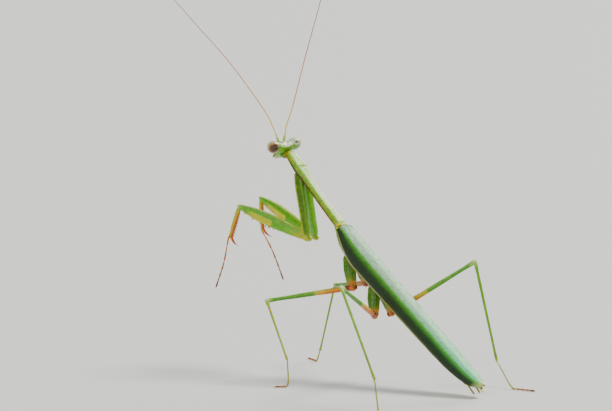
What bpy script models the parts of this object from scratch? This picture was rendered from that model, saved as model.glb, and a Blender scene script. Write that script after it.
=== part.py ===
"""A praying mantis at life size, standing on four legs with its body reared up and its two
grasping forelegs raised. It faces -Y, its left side is +X and its feet stand on z = 0.

Lengths below are in millimetres and turn into metres when each mesh is made. The prothorax
rises forward from the thorax hinge; wings, thorax and abdomen slope back and down from it."""

import math

import bmesh
import bpy
from mathutils import Matrix, Vector

MM = 0.001
EYE_GAP = 0.15                  # clear space around each eye in its socket

# Trunk: one hinge point on the back, and the two straight axes that leave it.
HINGE = Vector((0.0, 0.0, 33.6))
PROTHORAX_PITCH = math.radians(44.7)
WING_PITCH = math.radians(38.4)
PROTHORAX_LENGTH = 21.6
WING_BASE = 0.8                 # how far behind the hinge the forewings start
WING_LENGTH = 49.8
WING_THICKNESS = 0.5

# Head: turned to the mantis's right, tipped left side down, face looking up and forward.
HEAD_CENTRE = Vector((-0.18, -18.11, 49.2))
HEAD_YAW, HEAD_ROLL, HEAD_TIP = (math.radians(angle) for angle in (-18.7, 6.5, -57.0))
EYE_CENTRE = Vector((2.62, -0.25, 0.75))
EYE_RADII = Vector((1.48, 1.3, 1.72))

# The box that holds the whole animal is centred on the origin in plan.
PLAN_CENTRE = Vector((4.66, -1.07, 0.0))

# Legs: where each joint of each leg stands.
FORELEGS = {
    "L": {"base": (1.17, -12.02, 42.62), "hip": (2.2, -8.5, 29.9), "knee": (7.9, -24.0, 36.25),
          "wrist": (9.4, -25.2, 29.6), "claw": (8.5, -23.8, 27.5),
          "tarsus": ((10.1, -25.3, 29.0), (11.2, -25.7, 23.6), (12.8, -26.5, 18.4))},
    "R": {"base": (-1.5, -12.6, 43.2), "hip": (-2.7, -10.7, 29.6), "knee": (-1.55, -26.4, 37.3),
          "wrist": (-1.1, -25.4, 30.4), "claw": (-2.3, -23.6, 28.6),
          "tarsus": ((-1.5, -26.0, 29.9), (-2.9, -24.0, 25.2), (-4.0, -21.7, 18.8))},
}
WALKING_LEGS = {
    "mid_L": {"hip": (2.4, 4.9, 20.15), "knee": (15.5, -8.3, 17.4), "ankle": (17.8, -0.1, 5.7),
              "heel": (18.6, 0.9, 0.9), "toe": (20.6, -0.8, 0.2)},
    "mid_R": {"hip": (-2.7, 4.4, 20.5), "knee": (-10.5, -11.7, 17.7), "ankle": (-8.4, -14.2, 2.9),
              "heel": (-8.1, -15.0, 0.35), "toe": (-9.3, -18.6, 0.2)},
    "hind_L": {"hip": (2.8, 11.55, 14.8), "knee": (21.2, 18.3, 23.5), "ankle": (24.3, 30.0, 6.4),
               "heel": (25.3, 31.9, 0.45), "toe": (28.9, 35.6, 0.2)},
    "hind_R": {"hip": (-2.5, 11.9, 14.8), "knee": (-13.0, 26.5, 26.3), "ankle": (-13.3, 32.3, 5.4),
               "heel": (-12.0, 37.4, 0.45), "toe": (-12.9, 42.6, 0.2)},
}

# Antennae: the points each one passes through, from its socket to its tip.
ANTENNAE = {
    "L": ((0.5, -18.9, 50.7), (0.6, -19.4, 52.0), (0.8, -20.2, 53.7), (1.5, -22.5, 57.8),
          (4.7, -29.8, 68.0), (8.0, -36.5, 76.0), (12.3, -45.2, 86.4)),
    "R": ((-0.8, -18.4, 51.0), (-1.4, -18.6, 52.3), (-2.2, -18.9, 54.2), (-4.5, -19.1, 58.5),
          (-9.3, -20.0, 68.5), (-15.9, -21.0, 82.1), (-20.2, -21.9, 91.2)),
}

LEAF_GREEN = (0.16, 0.42, 0.02)
WING_GREEN = (0.12, 0.42, 0.12)
ORANGE = (0.62, 0.20, 0.02)
AMBER = (0.42, 0.22, 0.04)
EYE_TAN = (0.45, 0.30, 0.16)


def clear_scene():
    for thing in list(bpy.data.objects):
        bpy.data.objects.remove(thing, do_unlink=True)


def make_material(name, colour, roughness):
    material = bpy.data.materials.new(name)
    material.use_nodes = True
    shader = material.node_tree.nodes["Principled BSDF"]
    shader.inputs["Base Color"].default_value = (*colour, 1.0)
    shader.inputs["Roughness"].default_value = roughness
    shader.inputs["Metallic"].default_value = 0.0
    return material


def add_part(name, bm, colour, roughness=0.45):
    """Turns a mesh drawn in millimetres into a named object in metres, centred in plan."""
    bmesh.ops.remove_doubles(bm, verts=bm.verts, dist=0.002)
    bmesh.ops.recalc_face_normals(bm, faces=bm.faces)
    bmesh.ops.transform(bm, matrix=Matrix.Scale(MM, 4) @ Matrix.Translation(-PLAN_CENTRE), verts=bm.verts)
    mesh = bpy.data.meshes.new(name)
    bm.to_mesh(mesh)
    bm.free()
    mesh.shade_smooth()
    part = bpy.data.objects.new(name, mesh)
    mesh.materials.append(make_material(name, colour, roughness))
    mantis.objects.link(part)
    return part


def loft(rings):
    """Joins rings of points into a closed tube, with a flat cap at each end."""
    bm = bmesh.new()
    loops = [[bm.verts.new(point) for point in ring] for ring in rings]
    count = len(loops[0])
    for low, high in zip(loops, loops[1:]):
        for i in range(count):
            j = (i + 1) % count
            bm.faces.new((low[i], low[j], high[j], high[i]))
    bm.faces.new(loops[0])
    bm.faces.new(loops[-1])
    return bm


def oval(centre, across, up, half_width, half_height, sides, squareness=2.0):
    """A ring of points: an ellipse at squareness 2, a rounded rectangle above it."""
    points = []
    for i in range(sides):
        turn = math.tau * (i + 0.5) / sides
        x = math.copysign(abs(math.cos(turn)) ** (2 / squareness), math.cos(turn))
        y = math.copysign(abs(math.sin(turn)) ** (2 / squareness), math.sin(turn))
        points.append(centre + across * (half_width * x) + up * (half_height * y))
    return points


def sweep(points, across, half_widths, half_depths, sides=8):
    """A limb along a run of points, flat or deep across its hinge axis."""
    points = [Vector(point) for point in points]
    rings = []
    for i, point in enumerate(points):
        along = (points[min(i + 1, len(points) - 1)] - points[max(i - 1, 0)]).normalized()
        side = (across - along * across.dot(along)).normalized()
        rings.append(oval(point, side, along.cross(side), half_widths[i], half_depths[i], sides))
    return loft(rings)


def taper(start, end, across, stations, sides=8):
    """A straight limb segment. Each station gives its place from 0 to 1, half width and half depth."""
    start, end = Vector(start), Vector(end)
    points = [start.lerp(end, place) for place, _, _ in stations]
    return sweep(points, across, [s[1] for s in stations], [s[2] for s in stations], sides)


def hang_from(socket, start, end, stations):
    """A hip that leaves a socket ring lying on the body and then follows the limb's own axis."""
    rings = [socket]
    along = (end - start).normalized()
    side = (LEFT - along * LEFT.dot(along)).normalized()
    for place, half_width, half_depth in stations:
        rings.append(oval(start.lerp(end, place), side, along.cross(side), half_width, half_depth, len(socket)))
    return loft(rings)


def grow_spine(bm, root, lean, length, tip=0.15):
    """Draws the face nearest to root out into a pointed spine."""
    face = min(bm.faces, key=lambda f: (f.calc_center_median() - root).length)
    grown = bmesh.ops.extrude_discrete_faces(bm, faces=[face])["faces"][0]
    point = grown.calc_center_median() + lean.normalized() * length
    centre = grown.calc_center_median()
    for vert in grown.verts:
        vert.co = point + (vert.co - centre) * tip


def curve_tube(points, radii, resolution=1):
    """A round tapering tube through a run of points, as a mesh."""
    curve = bpy.data.curves.new("tube", "CURVE")
    curve.dimensions = "3D"
    curve.bevel_depth = 1.0
    curve.bevel_resolution = resolution
    curve.use_fill_caps = True
    spline = curve.splines.new("POLY")
    spline.points.add(len(points) - 1)
    for slot, point, radius in zip(spline.points, points, radii):
        slot.co = (*point, 1.0)
        slot.radius = radius
    holder = bpy.data.objects.new("tube", curve)
    mantis.objects.link(holder)
    mesh = bpy.data.meshes.new_from_object(holder.evaluated_get(bpy.context.evaluated_depsgraph_get()))
    bm = bmesh.new()
    bm.from_mesh(mesh)
    bmesh.ops.remove_doubles(bm, verts=bm.verts, dist=0.002)
    bpy.data.objects.remove(holder, do_unlink=True)
    return bm


def smooth_run(points, steps):
    """Points along a Catmull-Rom curve that passes through the given ones."""
    points = [Vector(point) for point in points]
    padded = [2 * points[0] - points[1], *points, 2 * points[-1] - points[-2]]
    run = []
    for a, b, c, d in zip(padded, padded[1:], padded[2:], padded[3:]):
        for i in range(steps):
            t = i / steps
            run.append(0.5 * ((2 * b) + (c - a) * t + (2 * a - 5 * b + 4 * c - d) * t ** 2
                              + (3 * b - a - 3 * c + d) * t ** 3))
    run.append(points[-1])
    return run


# The two frames of the trunk. Dorsal points out of the back.
LEFT = Vector((1.0, 0.0, 0.0))
FORWARD = Vector((0.0, -math.cos(PROTHORAX_PITCH), math.sin(PROTHORAX_PITCH)))
FORWARD_DORSAL = Vector((0.0, math.sin(PROTHORAX_PITCH), math.cos(PROTHORAX_PITCH)))
BACKWARD = Vector((0.0, math.cos(WING_PITCH), -math.sin(WING_PITCH)))
BACKWARD_DORSAL = Vector((0.0, math.sin(WING_PITCH), math.cos(WING_PITCH)))
HEAD_FRAME = (Matrix.Translation(HEAD_CENTRE) @ Matrix.Rotation(HEAD_YAW, 4, "Z")
              @ Matrix.Rotation(HEAD_ROLL, 4, "Y") @ Matrix.Rotation(HEAD_TIP, 4, "X"))


def on_body(back, depth, left=0.0):
    """A point of the wing and abdomen frame: distance back, depth below the wing tops, and left."""
    return HINGE + BACKWARD * back - BACKWARD_DORSAL * depth + LEFT * left


def make_prothorax():
    """Slender shield, widest over the foreleg hips. Station: place, half width, half depth, sag."""
    stations = ((-0.35, 1.6, 0.8, -0.05), (1.5, 1.6, 0.95, -0.1), (4.0, 1.45, 0.92, 0.05),
                (8.0, 1.38, 0.85, 0.25), (12.0, 1.42, 0.85, 0.2), (14.5, 1.65, 0.92, 0.05),
                (16.6, 2.05, 0.95, -0.15), (18.4, 2.0, 0.9, -0.2), (20.2, 1.75, 0.85, -0.15),
                (21.2, 1.5, 0.78, -0.05), (PROTHORAX_LENGTH, 1.2, 0.6, 0.15))
    rings = []
    for place, half_width, half_depth, sag in stations:
        centre = HINGE + FORWARD * place - FORWARD_DORSAL * (half_depth + sag)
        rings.append(oval(centre, LEFT, FORWARD_DORSAL, half_width, half_depth, 14, 2.2))
    add_part("prothorax", loft(rings), LEAF_GREEN)


def make_thorax():
    """Wing-bearing thorax under the folded wings. Station: back, half width, top and bottom depth."""
    stations = ((0.4, 1.3, 0.7, 2.6), (1.4, 1.5, 0.75, 3.3), (3.4, 1.62, 0.95, 4.3), (7.0, 1.7, 1.1, 4.5),
                (11.0, 1.7, 1.2, 4.5), (14.5, 1.65, 1.3, 4.5), (16.2, 1.5, 1.4, 4.3))
    rings = []
    for back, half_width, top, bottom in stations:
        centre = on_body(back, (top + bottom) / 2)
        rings.append(oval(centre, LEFT, BACKWARD_DORSAL, half_width, (bottom - top) / 2, 12, 2.5))
    add_part("thorax", loft(rings), LEAF_GREEN)


def make_abdomen():
    """Segmented abdomen, a little narrower at each ring, hidden above by the wings."""
    first, last, segments = 16.6, 46.6, 8
    length = (last - first) / segments
    rings = []
    for i in range(segments):
        fall = i / (segments - 1)
        half_width = 1.62 - 0.5 * fall ** 1.5
        bottom = 4.3 - 1.25 * fall ** 1.3
        for place, swell in ((0.04, 0.93), (0.3, 1.0), (0.92, 0.97)):
            back = first + (i + place) * length
            top = 1.55 + 0.15 * fall
            centre = on_body(back, (top + bottom) / 2)
            rings.append(oval(centre, LEFT, BACKWARD_DORSAL, half_width * swell, (bottom - top) / 2 * swell, 10))
    rings.append(oval(on_body(last + 0.9, 2.3), LEFT, BACKWARD_DORSAL, 0.6, 0.35, 10))
    add_part("abdomen", loft(rings), LEAF_GREEN)
    for side in (1, -1):
        start = on_body(47.4, 2.2, side * 1.0)
        tip = on_body(49.4, 2.45, side * 0.95)
        feeler = curve_tube([start.lerp(tip, t / 4) for t in range(5)], [0.27, 0.33, 0.33, 0.3, 0.25])
        add_part("cercus_" + ("L" if side > 0 else "R"), feeler, AMBER)


def wing_half_width(back):
    """Half width of the folded wings at a distance back from the hinge."""
    shoulder = min(1.0, (back - WING_BASE + 0.4) / 9.0)
    tip = max(0.0, (back - 38.0) / (WING_LENGTH + 0.3 - 38.0))
    return (2.1 + 0.5 * math.sin(shoulder * math.pi / 2)) * math.sqrt(1 - tip ** 2.6)


def wing_height(back):
    """How far the folded wing's side reaches down from its top."""
    rise = min(1.0, (back - WING_BASE + 0.2) / 9.5)
    fall = max(0.0, (back - 10.0) / (WING_LENGTH + 0.1 - 10.0))
    return (1.4 + 2.95 * math.sin(rise * math.pi / 2)) * (1 - 0.42 * fall) * math.sqrt(1 - fall ** 9)


def make_wings():
    """Leathery forewings: each is a thin shell from near the midline, over the ridge and down the side.
    The left one lies over the right, so the seam runs a little right of the midline."""
    lengthwise, crosswise, corner = 22, 7, 2.7
    for side, seam, clearance in ((1, -0.14, 0.0), (-1, 0.24, 0.2)):
        bm = bmesh.new()
        bmesh.ops.create_grid(bm, x_segments=lengthwise, y_segments=crosswise, size=1.0)
        for vert in bm.verts:
            back = WING_BASE + (WING_LENGTH - WING_BASE) * (vert.co.x + 1) / 2
            width, height = wing_half_width(back), wing_height(back)
            inner_edge = min(seam + clearance / width, 0.85)
            inner = math.copysign(math.asin(abs(inner_edge) ** (corner / 2)), inner_edge)
            turn = inner + (math.pi / 2 - inner) * (vert.co.y + 1) / 2
            across = math.copysign(abs(math.sin(turn)) ** (2 / corner), turn)
            down = 1 - abs(math.cos(turn)) ** (2 / corner)
            rise = 0.4 * (1 - back / WING_LENGTH) + 0.4 * (1 - across ** 2)
            vert.co = on_body(back, height * down - rise, side * width * across)
        bm.normal_update()
        top = min(bm.faces, key=lambda f: (f.calc_center_median() - on_body(20.0, 0.0, side)).length)
        if top.normal.dot(BACKWARD_DORSAL) < 0:
            bmesh.ops.reverse_faces(bm, faces=bm.faces)
            bm.normal_update()
        bmesh.ops.solidify(bm, geom=bm.faces[:], thickness=WING_THICKNESS)
        add_part("forewing_" + ("L" if side > 0 else "R"), bm, WING_GREEN, 0.35)


def make_hindwings():
    """Hindwings folded in one flat fan under the forewings. Only their ends show."""
    rings = []
    for back, half_width in ((28.0, 1.0), (34.0, 1.15), (42.0, 1.05), (46.0, 0.85), (48.5, 0.5), (50.6, 0.3)):
        rings.append(oval(on_body(back, 0.92), LEFT, BACKWARD_DORSAL, half_width, 0.25, 8, 3.0))
    add_part("hindwings", loft(rings), AMBER, 0.4)


def make_head():
    """Triangular head: wide between the eyes, narrowing to the mouth. Station: height, half width,
    half depth, centre of depth, in the head's own frame (face to -y, crown to +z)."""
    stations = ((2.15, 1.1, 0.5, 0.2), (1.95, 1.75, 0.9, 0.1), (1.4, 2.28, 1.33, 0.0), (0.5, 2.35, 1.5, 0.0),
                (-0.6, 2.05, 1.45, 0.0), (-1.7, 1.45, 1.25, -0.05), (-2.6, 1.0, 0.95, -0.15))
    rings = []
    for height, half_width, half_depth, centre in stations:
        ring = oval(Vector((0, centre, height)), LEFT, Vector((0, 1, 0)), half_width, half_depth, 16, 2.3)
        rings.append([HEAD_FRAME @ point for point in ring])
    head = add_part("head", loft(rings), LEAF_GREEN)
    for side in (1, -1):
        eye = make_eye(side, EYE_RADII, "eye_" + ("L" if side > 0 else "R"))
        hollow = make_eye(side, EYE_RADII + Vector((EYE_GAP, EYE_GAP, EYE_GAP)), "eye_hollow")
        mantis.objects.unlink(hollow)
        cutters.objects.link(hollow)
        hollow.hide_render = True
        hollow.display_type = "WIRE"
        cut = head.modifiers.new("eye hollow", "BOOLEAN")
        cut.operation = "DIFFERENCE"
        cut.object = hollow
    return head


def make_eye(side, radii, name):
    """Egg-shaped compound eye at the head's corner, leaning outward at the top."""
    bm = bmesh.new()
    bmesh.ops.create_uvsphere(bm, u_segments=14, v_segments=9, radius=1.0)
    place = Matrix.Translation(Vector((side * EYE_CENTRE.x, EYE_CENTRE.y, EYE_CENTRE.z)))
    lean = Matrix.Rotation(side * math.radians(16), 4, "Y")
    shape = Matrix.Diagonal((*radii, 1.0))
    bmesh.ops.transform(bm, matrix=HEAD_FRAME @ place @ lean @ shape, verts=bm.verts)
    return add_part(name, bm, EYE_TAN, 0.2)


def make_mouth():
    """Upper lip and jaws as one wedge, with a feeler-like palp on each side."""
    stations = ((-2.85, 0.85, 0.85, -0.2), (-3.4, 0.7, 0.7, -0.25), (-4.0, 0.4, 0.45, -0.25))
    rings = []
    for height, half_width, half_depth, centre in stations:
        ring = oval(Vector((0, centre, height)), LEFT, Vector((0, 1, 0)), half_width, half_depth, 12, 2.3)
        rings.append([HEAD_FRAME @ point for point in ring])
    add_part("mouth", loft(rings), LEAF_GREEN)
    for side in (1, -1):
        run = smooth_run(((side * 1.45, 0.6, -2.35), (side * 1.5, 0.4, -2.9), (side * 1.25, 0.1, -3.5),
                          (side * 0.9, -0.15, -3.95)), 3)
        palp = curve_tube([HEAD_FRAME @ point for point in run], [0.27] * len(run))
        add_part("palp_" + ("L" if side > 0 else "R"), palp, LEAF_GREEN)


def make_neck():
    """Soft neck between the back of the head and the front of the prothorax."""
    head_side = [HEAD_FRAME @ point for point in oval(Vector((0.0, 1.68, -0.35)), LEFT, Vector((0.0, 0.0, 1.0)),
                                                      0.8, 0.75, 12)]
    rear = HINGE + FORWARD * (PROTHORAX_LENGTH + 0.2) - FORWARD_DORSAL * 0.8
    body_side = oval(rear, LEFT, FORWARD_DORSAL, 0.9, 0.5, 12)
    middle = [front.lerp(back, 0.5) for front, back in zip(head_side, body_side)]
    add_part("neck", loft((head_side, middle, body_side)), LEAF_GREEN)


def make_antennae():
    """Long thread-like antennae, thick only in their first two joints."""
    for name, points in ANTENNAE.items():
        run = smooth_run(points, 5)
        radii = [0.36 if i < 2 else 0.27 for i in range(len(run))]
        add_part("antenna_" + name, curve_tube(run, radii), ORANGE)


def make_forelegs():
    """Grasping legs: long hip, deep spined thigh, and a spined shin that ends in a claw."""
    for name, leg in FORELEGS.items():
        joints = {key: Vector(value) for key, value in leg.items() if key != "tarsus"}
        base, hip, knee, wrist, claw = (joints[key] for key in ("base", "hip", "knee", "wrist", "claw"))
        thigh = (knee - hip).normalized()
        shin = (wrist - knee).normalized()
        hinge_axis = thigh.cross(shin).normalized()
        inward = (shin - thigh * shin.dot(thigh)).normalized()
        foot_of_socket = oval(base, LEFT, FORWARD, 0.7, 1.0, 10)
        coxa = hang_from(foot_of_socket, base, hip.lerp(base, 0.11), (
            (0.14, 0.9, 1.1), (0.5, 0.8, 1.05), (0.85, 0.68, 0.95), (1.0, 0.5, 0.65)))
        add_part("fore_coxa_" + name, coxa, LEAF_GREEN)
        add_part("fore_trochanter_" + name, taper(hip - thigh * 0.8, hip + thigh * 1.3, hinge_axis, (
            (0.0, 0.35, 0.45), (0.35, 0.6, 0.85), (1.0, 0.5, 0.7)), 8), LEAF_GREEN)

        femur = taper(hip + thigh * 1.6, knee - thigh * 0.1, hinge_axis, [
            (place, *femur_section(place)) for place in (i / 18 for i in range(19))], 10)
        for i in range(5):
            place = hip.lerp(knee, 0.42 + 0.085 * i)
            for edge in (1, -1):
                root = place + inward * 1.5 + hinge_axis * (0.5 * edge)
                grow_spine(femur, root, inward * 1.3 + thigh * 0.25 + hinge_axis * (0.35 * edge), 0.9 + 0.2 * (i % 2))
        add_part("fore_femur_" + name, femur, LEAF_GREEN)

        shin_points = [(knee + shin * 1.05).lerp(wrist, i / 8) for i in range(9)]
        bend = smooth_run((wrist, wrist.lerp(claw, 0.55) + shin * 0.35, claw), 2)[1:]
        widths = [0.3, 0.4, 0.42, 0.42, 0.4, 0.38, 0.36, 0.34, 0.34] + [0.3, 0.27, 0.25, 0.25][:len(bend)]
        depths = [0.42, 0.55, 0.6, 0.6, 0.56, 0.54, 0.52, 0.5, 0.46] + [0.36, 0.3, 0.27, 0.25][:len(bend)]
        tibia = sweep(shin_points + bend, hinge_axis, widths, depths, 8)
        grip = (hinge_axis.cross(shin)).normalized()
        grip = grip if grip.dot(thigh) < 0 else -grip
        for i in range(4):
            place = knee.lerp(wrist, 0.36 + 0.15 * i)
            for edge in (1, -1):
                grow_spine(tibia, place + grip * 0.6 + hinge_axis * (0.3 * edge),
                           grip + shin * 0.6 + hinge_axis * (0.2 * edge), 0.65)
        add_part("fore_tibia_" + name, tibia, LEAF_GREEN)
        add_part("fore_tarsus_" + name, jointed_foot(leg["tarsus"], 0.27), AMBER)


def femur_section(place):
    """Half thickness and half depth of the grasping thigh, deepest past its middle."""
    deepest = 0.58
    if place < deepest:
        swell, end = math.sin(math.pi / 2 * place / deepest), 0.9
    else:
        swell, end = math.cos(math.pi / 2 * (place - deepest) / (1 - deepest)), 0.42
    return 0.45 + 0.25 * swell, end + (1.45 - end) * swell


def jointed_foot(points, radius):
    """Five-jointed foot: a long first joint, then shorter ones, each swollen at its far end."""
    run = smooth_run(points, 12)
    total = len(run) - 1
    joints = (0.0, 0.45, 0.63, 0.76, 0.86, 1.0)
    path, radii = [], []
    for start, end in zip(joints, joints[1:]):
        for place, size in ((0.0, 0.93), (0.75, 1.0)):
            path.append(run[round((start + (end - start) * place) * total)])
            radii.append(radius * size)
    path.append(run[-1])
    radii.append(radius * 0.93)
    return curve_tube(path, radii)


def make_walking_leg(name, leg, coxa_base):
    """A thin walking leg: hip, its small second joint, thigh, shin and a foot flat on the floor."""
    hip, knee, ankle, heel, toe = (Vector(leg[key]) for key in ("hip", "knee", "ankle", "heel", "toe"))
    thigh = (knee - hip).normalized()
    shin = (ankle - knee).normalized()
    hinge_axis = thigh.cross(shin).normalized()
    socket = oval(coxa_base, LEFT, -BACKWARD, 0.8, 1.35, 10)
    add_part(name + "_coxa", hang_from(socket, coxa_base, hip.lerp(coxa_base, 0.2), (
        (0.3, 1.0, 1.45), (0.7, 0.95, 1.35), (1.0, 0.75, 0.95))), LEAF_GREEN)
    add_part(name + "_trochanter", taper(hip - thigh * 0.8, hip + thigh * 1.1, hinge_axis, (
        (0.0, 0.35, 0.45), (0.35, 0.7, 0.75), (0.75, 0.65, 0.7), (1.0, 0.45, 0.5)), 8), ORANGE)
    add_part(name + "_femur", taper(hip + thigh * 1.4, knee - thigh * 0.05, hinge_axis, (
        (0.0, 0.45, 0.55), (0.1, 0.55, 0.7), (0.5, 0.46, 0.6), (0.85, 0.38, 0.48), (0.96, 0.4, 0.5),
        (1.0, 0.28, 0.36)), 8), LEAF_GREEN)
    add_part(name + "_tibia", taper(knee + shin * 0.62, ankle - shin * 0.15, hinge_axis, (
        (0.0, 0.28, 0.34), (0.05, 0.35, 0.45), (0.2, 0.31, 0.38), (0.85, 0.27, 0.3), (1.0, 0.31, 0.34)), 8),
        LEAF_GREEN)
    sole = heel.lerp(toe, 0.4)
    sole.z = toe.z
    foot = jointed_foot((ankle + (heel - ankle).normalized() * 0.2, heel, sole, toe), 0.29)
    for edge in (1, -1):
        aim = (toe - heel).normalized()
        spread = aim.cross(Vector((0, 0, 1))) * edge
        grow_spine(foot, toe + spread * 0.3 - aim * 0.4, spread * 0.6 + aim, 0.8)
    flatten_on_floor(foot)
    add_part(name + "_tarsus", foot, AMBER)


def flatten_on_floor(bm):
    """Trims what dips below the floor and closes the cut, which leaves a small flat to stand on."""
    cut = bmesh.ops.bisect_plane(bm, geom=bm.verts[:] + bm.edges[:] + bm.faces[:], dist=0.0001,
                                 plane_co=(0, 0, 0), plane_no=(0, 0, -1), clear_outer=True)
    rim = [item for item in cut["geom_cut"] if isinstance(item, bmesh.types.BMEdge)]
    bmesh.ops.holes_fill(bm, edges=rim, sides=0)


clear_scene()
mantis = bpy.data.collections.new("praying mantis")
cutters = bpy.data.collections.new("cutters")
for collection in (mantis, cutters):
    bpy.context.scene.collection.children.link(collection)

make_prothorax()
make_thorax()
make_abdomen()
make_wings()
make_hindwings()
make_head()
make_mouth()
make_neck()
make_antennae()
make_forelegs()
for leg_name, leg_joints in WALKING_LEGS.items():
    side = 1 if leg_name.endswith("L") else -1
    base = on_body(6.9, 4.75, side * 1.3) if leg_name.startswith("mid") else on_body(16.2, 4.8, side * 1.3)
    make_walking_leg(leg_name, leg_joints, base)
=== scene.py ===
import math

import bmesh
import bpy
from mathutils import Matrix, Vector, noise


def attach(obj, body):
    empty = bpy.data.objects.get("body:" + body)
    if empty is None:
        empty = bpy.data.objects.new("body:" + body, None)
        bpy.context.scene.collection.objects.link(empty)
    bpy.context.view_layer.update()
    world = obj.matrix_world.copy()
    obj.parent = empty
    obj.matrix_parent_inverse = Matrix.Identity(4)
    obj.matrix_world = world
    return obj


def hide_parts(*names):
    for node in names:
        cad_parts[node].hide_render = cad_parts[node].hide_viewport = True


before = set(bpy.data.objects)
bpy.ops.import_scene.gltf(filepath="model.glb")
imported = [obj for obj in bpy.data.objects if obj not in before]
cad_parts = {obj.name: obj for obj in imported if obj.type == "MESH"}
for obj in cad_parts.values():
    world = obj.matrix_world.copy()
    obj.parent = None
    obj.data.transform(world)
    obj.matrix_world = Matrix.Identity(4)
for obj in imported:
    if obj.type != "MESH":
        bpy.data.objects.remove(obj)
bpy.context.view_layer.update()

# --- Prothorax ----------------------------------------------------------------------------------
# The long shield behind the head: one hard, waxy green plate, moulded in life as a single sclerite, painted
# with a pale highlight along its back.
# It has a keel down the back, a toothed rim on each side and a groove across it over the foreleg hips.

# Lengths here and below are in millimetres, measured from the floor under the hinge of the wings.
MM = 0.001
PLAN_CENTRE = Vector((4.66, -1.07, 0.0))      # from the hinge's midline to the centre of the whole animal
HINGE = Vector((0.0, 0.0, 33.6))
PROTHORAX_PITCH = math.radians(44.7)
LEFT = Vector((1.0, 0.0, 0.0))
FORWARD = Vector((0.0, -math.cos(PROTHORAX_PITCH), math.sin(PROTHORAX_PITCH)))
FORWARD_DORSAL = Vector((0.0, math.sin(PROTHORAX_PITCH), math.cos(PROTHORAX_PITCH)))


def smooth_run(knots, steps):
    """Evenly spread values of any dimension along a Catmull-Rom curve through the knots."""
    knots = [Vector(knot) for knot in knots]
    padded = [2 * knots[0] - knots[1], *knots, 2 * knots[-1] - knots[-2]]
    run = []
    for a, b, c, d in zip(padded, padded[1:], padded[2:], padded[3:]):
        for i in range(steps):
            t = i / steps
            run.append(0.5 * ((2 * b) + (c - a) * t + (2 * a - 5 * b + 4 * c - d) * t ** 2
                              + (3 * b - a - 3 * c + d) * t ** 3))
    run.append(knots[-1])
    return run


def bump(value, middle, width):
    """A smooth hump, 1 at the middle and gone a few widths away."""
    return math.exp(-((value - middle) / width) ** 2)


RING_WELD, PIECE_WELD = 0.00001, 0.0005                      # points nearer than this become one


def new_skin():
    """An empty mesh whose points remember how they lie on the limb: across, up and along, the last 0 to 1."""
    bm = bmesh.new()
    bm.verts.layers.float_vector.new("lie")
    return bm


def tube(bm, stations, sides=24, squareness=2.0, relief=None):
    """Wraps a grid round a row of rings into a closed skin. A station is its centre, the directions across
    and up, the half width, the half depth and the place along. relief(across, up, along) stands out of it."""
    skin = new_skin()
    lie = skin.verts.layers.float_vector["lie"]
    last = len(stations) - 1
    bmesh.ops.create_grid(skin, x_segments=last, y_segments=sides, size=1.0)
    for vert in skin.verts:
        centre, across, up, half_width, half_depth, along = stations[round((vert.co.x + 1) / 2 * last)]
        turn = math.tau * round((vert.co.y + 1) / 2 * sides) / sides
        x, y = math.cos(turn), math.sin(turn)
        vert[lie] = (x, y, along)
        square_x = math.copysign(abs(x) ** (2 / squareness), x)
        square_y = math.copysign(abs(y) ** (2 / squareness), y)
        vert.co = centre + across * (half_width * square_x) + up * (half_depth * square_y)
        if relief:
            vert.co += (across * x + up * y) * relief(x, y, along)
    bmesh.ops.remove_doubles(skin, verts=skin.verts, dist=RING_WELD)
    bmesh.ops.holes_fill(skin, edges=[edge for edge in skin.edges if edge.is_boundary], sides=0)
    patch = bpy.data.meshes.new("patch")
    skin.to_mesh(patch)
    skin.free()
    bm.from_mesh(patch)
    bpy.data.meshes.remove(patch)


def settle(name, bm, material, slot, *nodes):
    """Turns a mesh drawn in millimetres into a finished piece, in metres, that stands for CAD nodes."""
    bmesh.ops.remove_doubles(bm, verts=bm.verts, dist=PIECE_WELD)
    bmesh.ops.recalc_face_normals(bm, faces=bm.faces)
    bmesh.ops.transform(bm, matrix=Matrix.Scale(MM, 4) @ Matrix.Translation(-PLAN_CENTRE), verts=bm.verts)
    mesh = bpy.data.meshes.new(name)
    bm.to_mesh(mesh)
    bm.free()
    mesh.shade_smooth()
    mesh.materials.append(material)
    piece = bpy.data.objects.new(name, mesh)
    bpy.context.scene.collection.objects.link(piece)
    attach(piece, "root")
    if nodes:
        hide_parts(*nodes)
    return piece


THORN_STEPS = 5


def thorn(bm, root, tip, radius, bend=Vector((0, 0, 0)), sides=8):
    """A pointed spine from root to tip, bowed by bend at its middle. Its place along runs from 0 to 1."""
    aim = (tip - root).normalized()
    across = aim.orthogonal().normalized()
    up = aim.cross(across)
    stations = []
    for i in range(THORN_STEPS + 1):
        t = i / THORN_STEPS
        centre = root.lerp(tip, t) + bend * (4 * t * (1 - t))
        size = radius * (1 - t) ** 0.7 + 0.012
        stations.append((centre, across, up, size, size, t))
    tube(bm, stations, sides)


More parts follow.
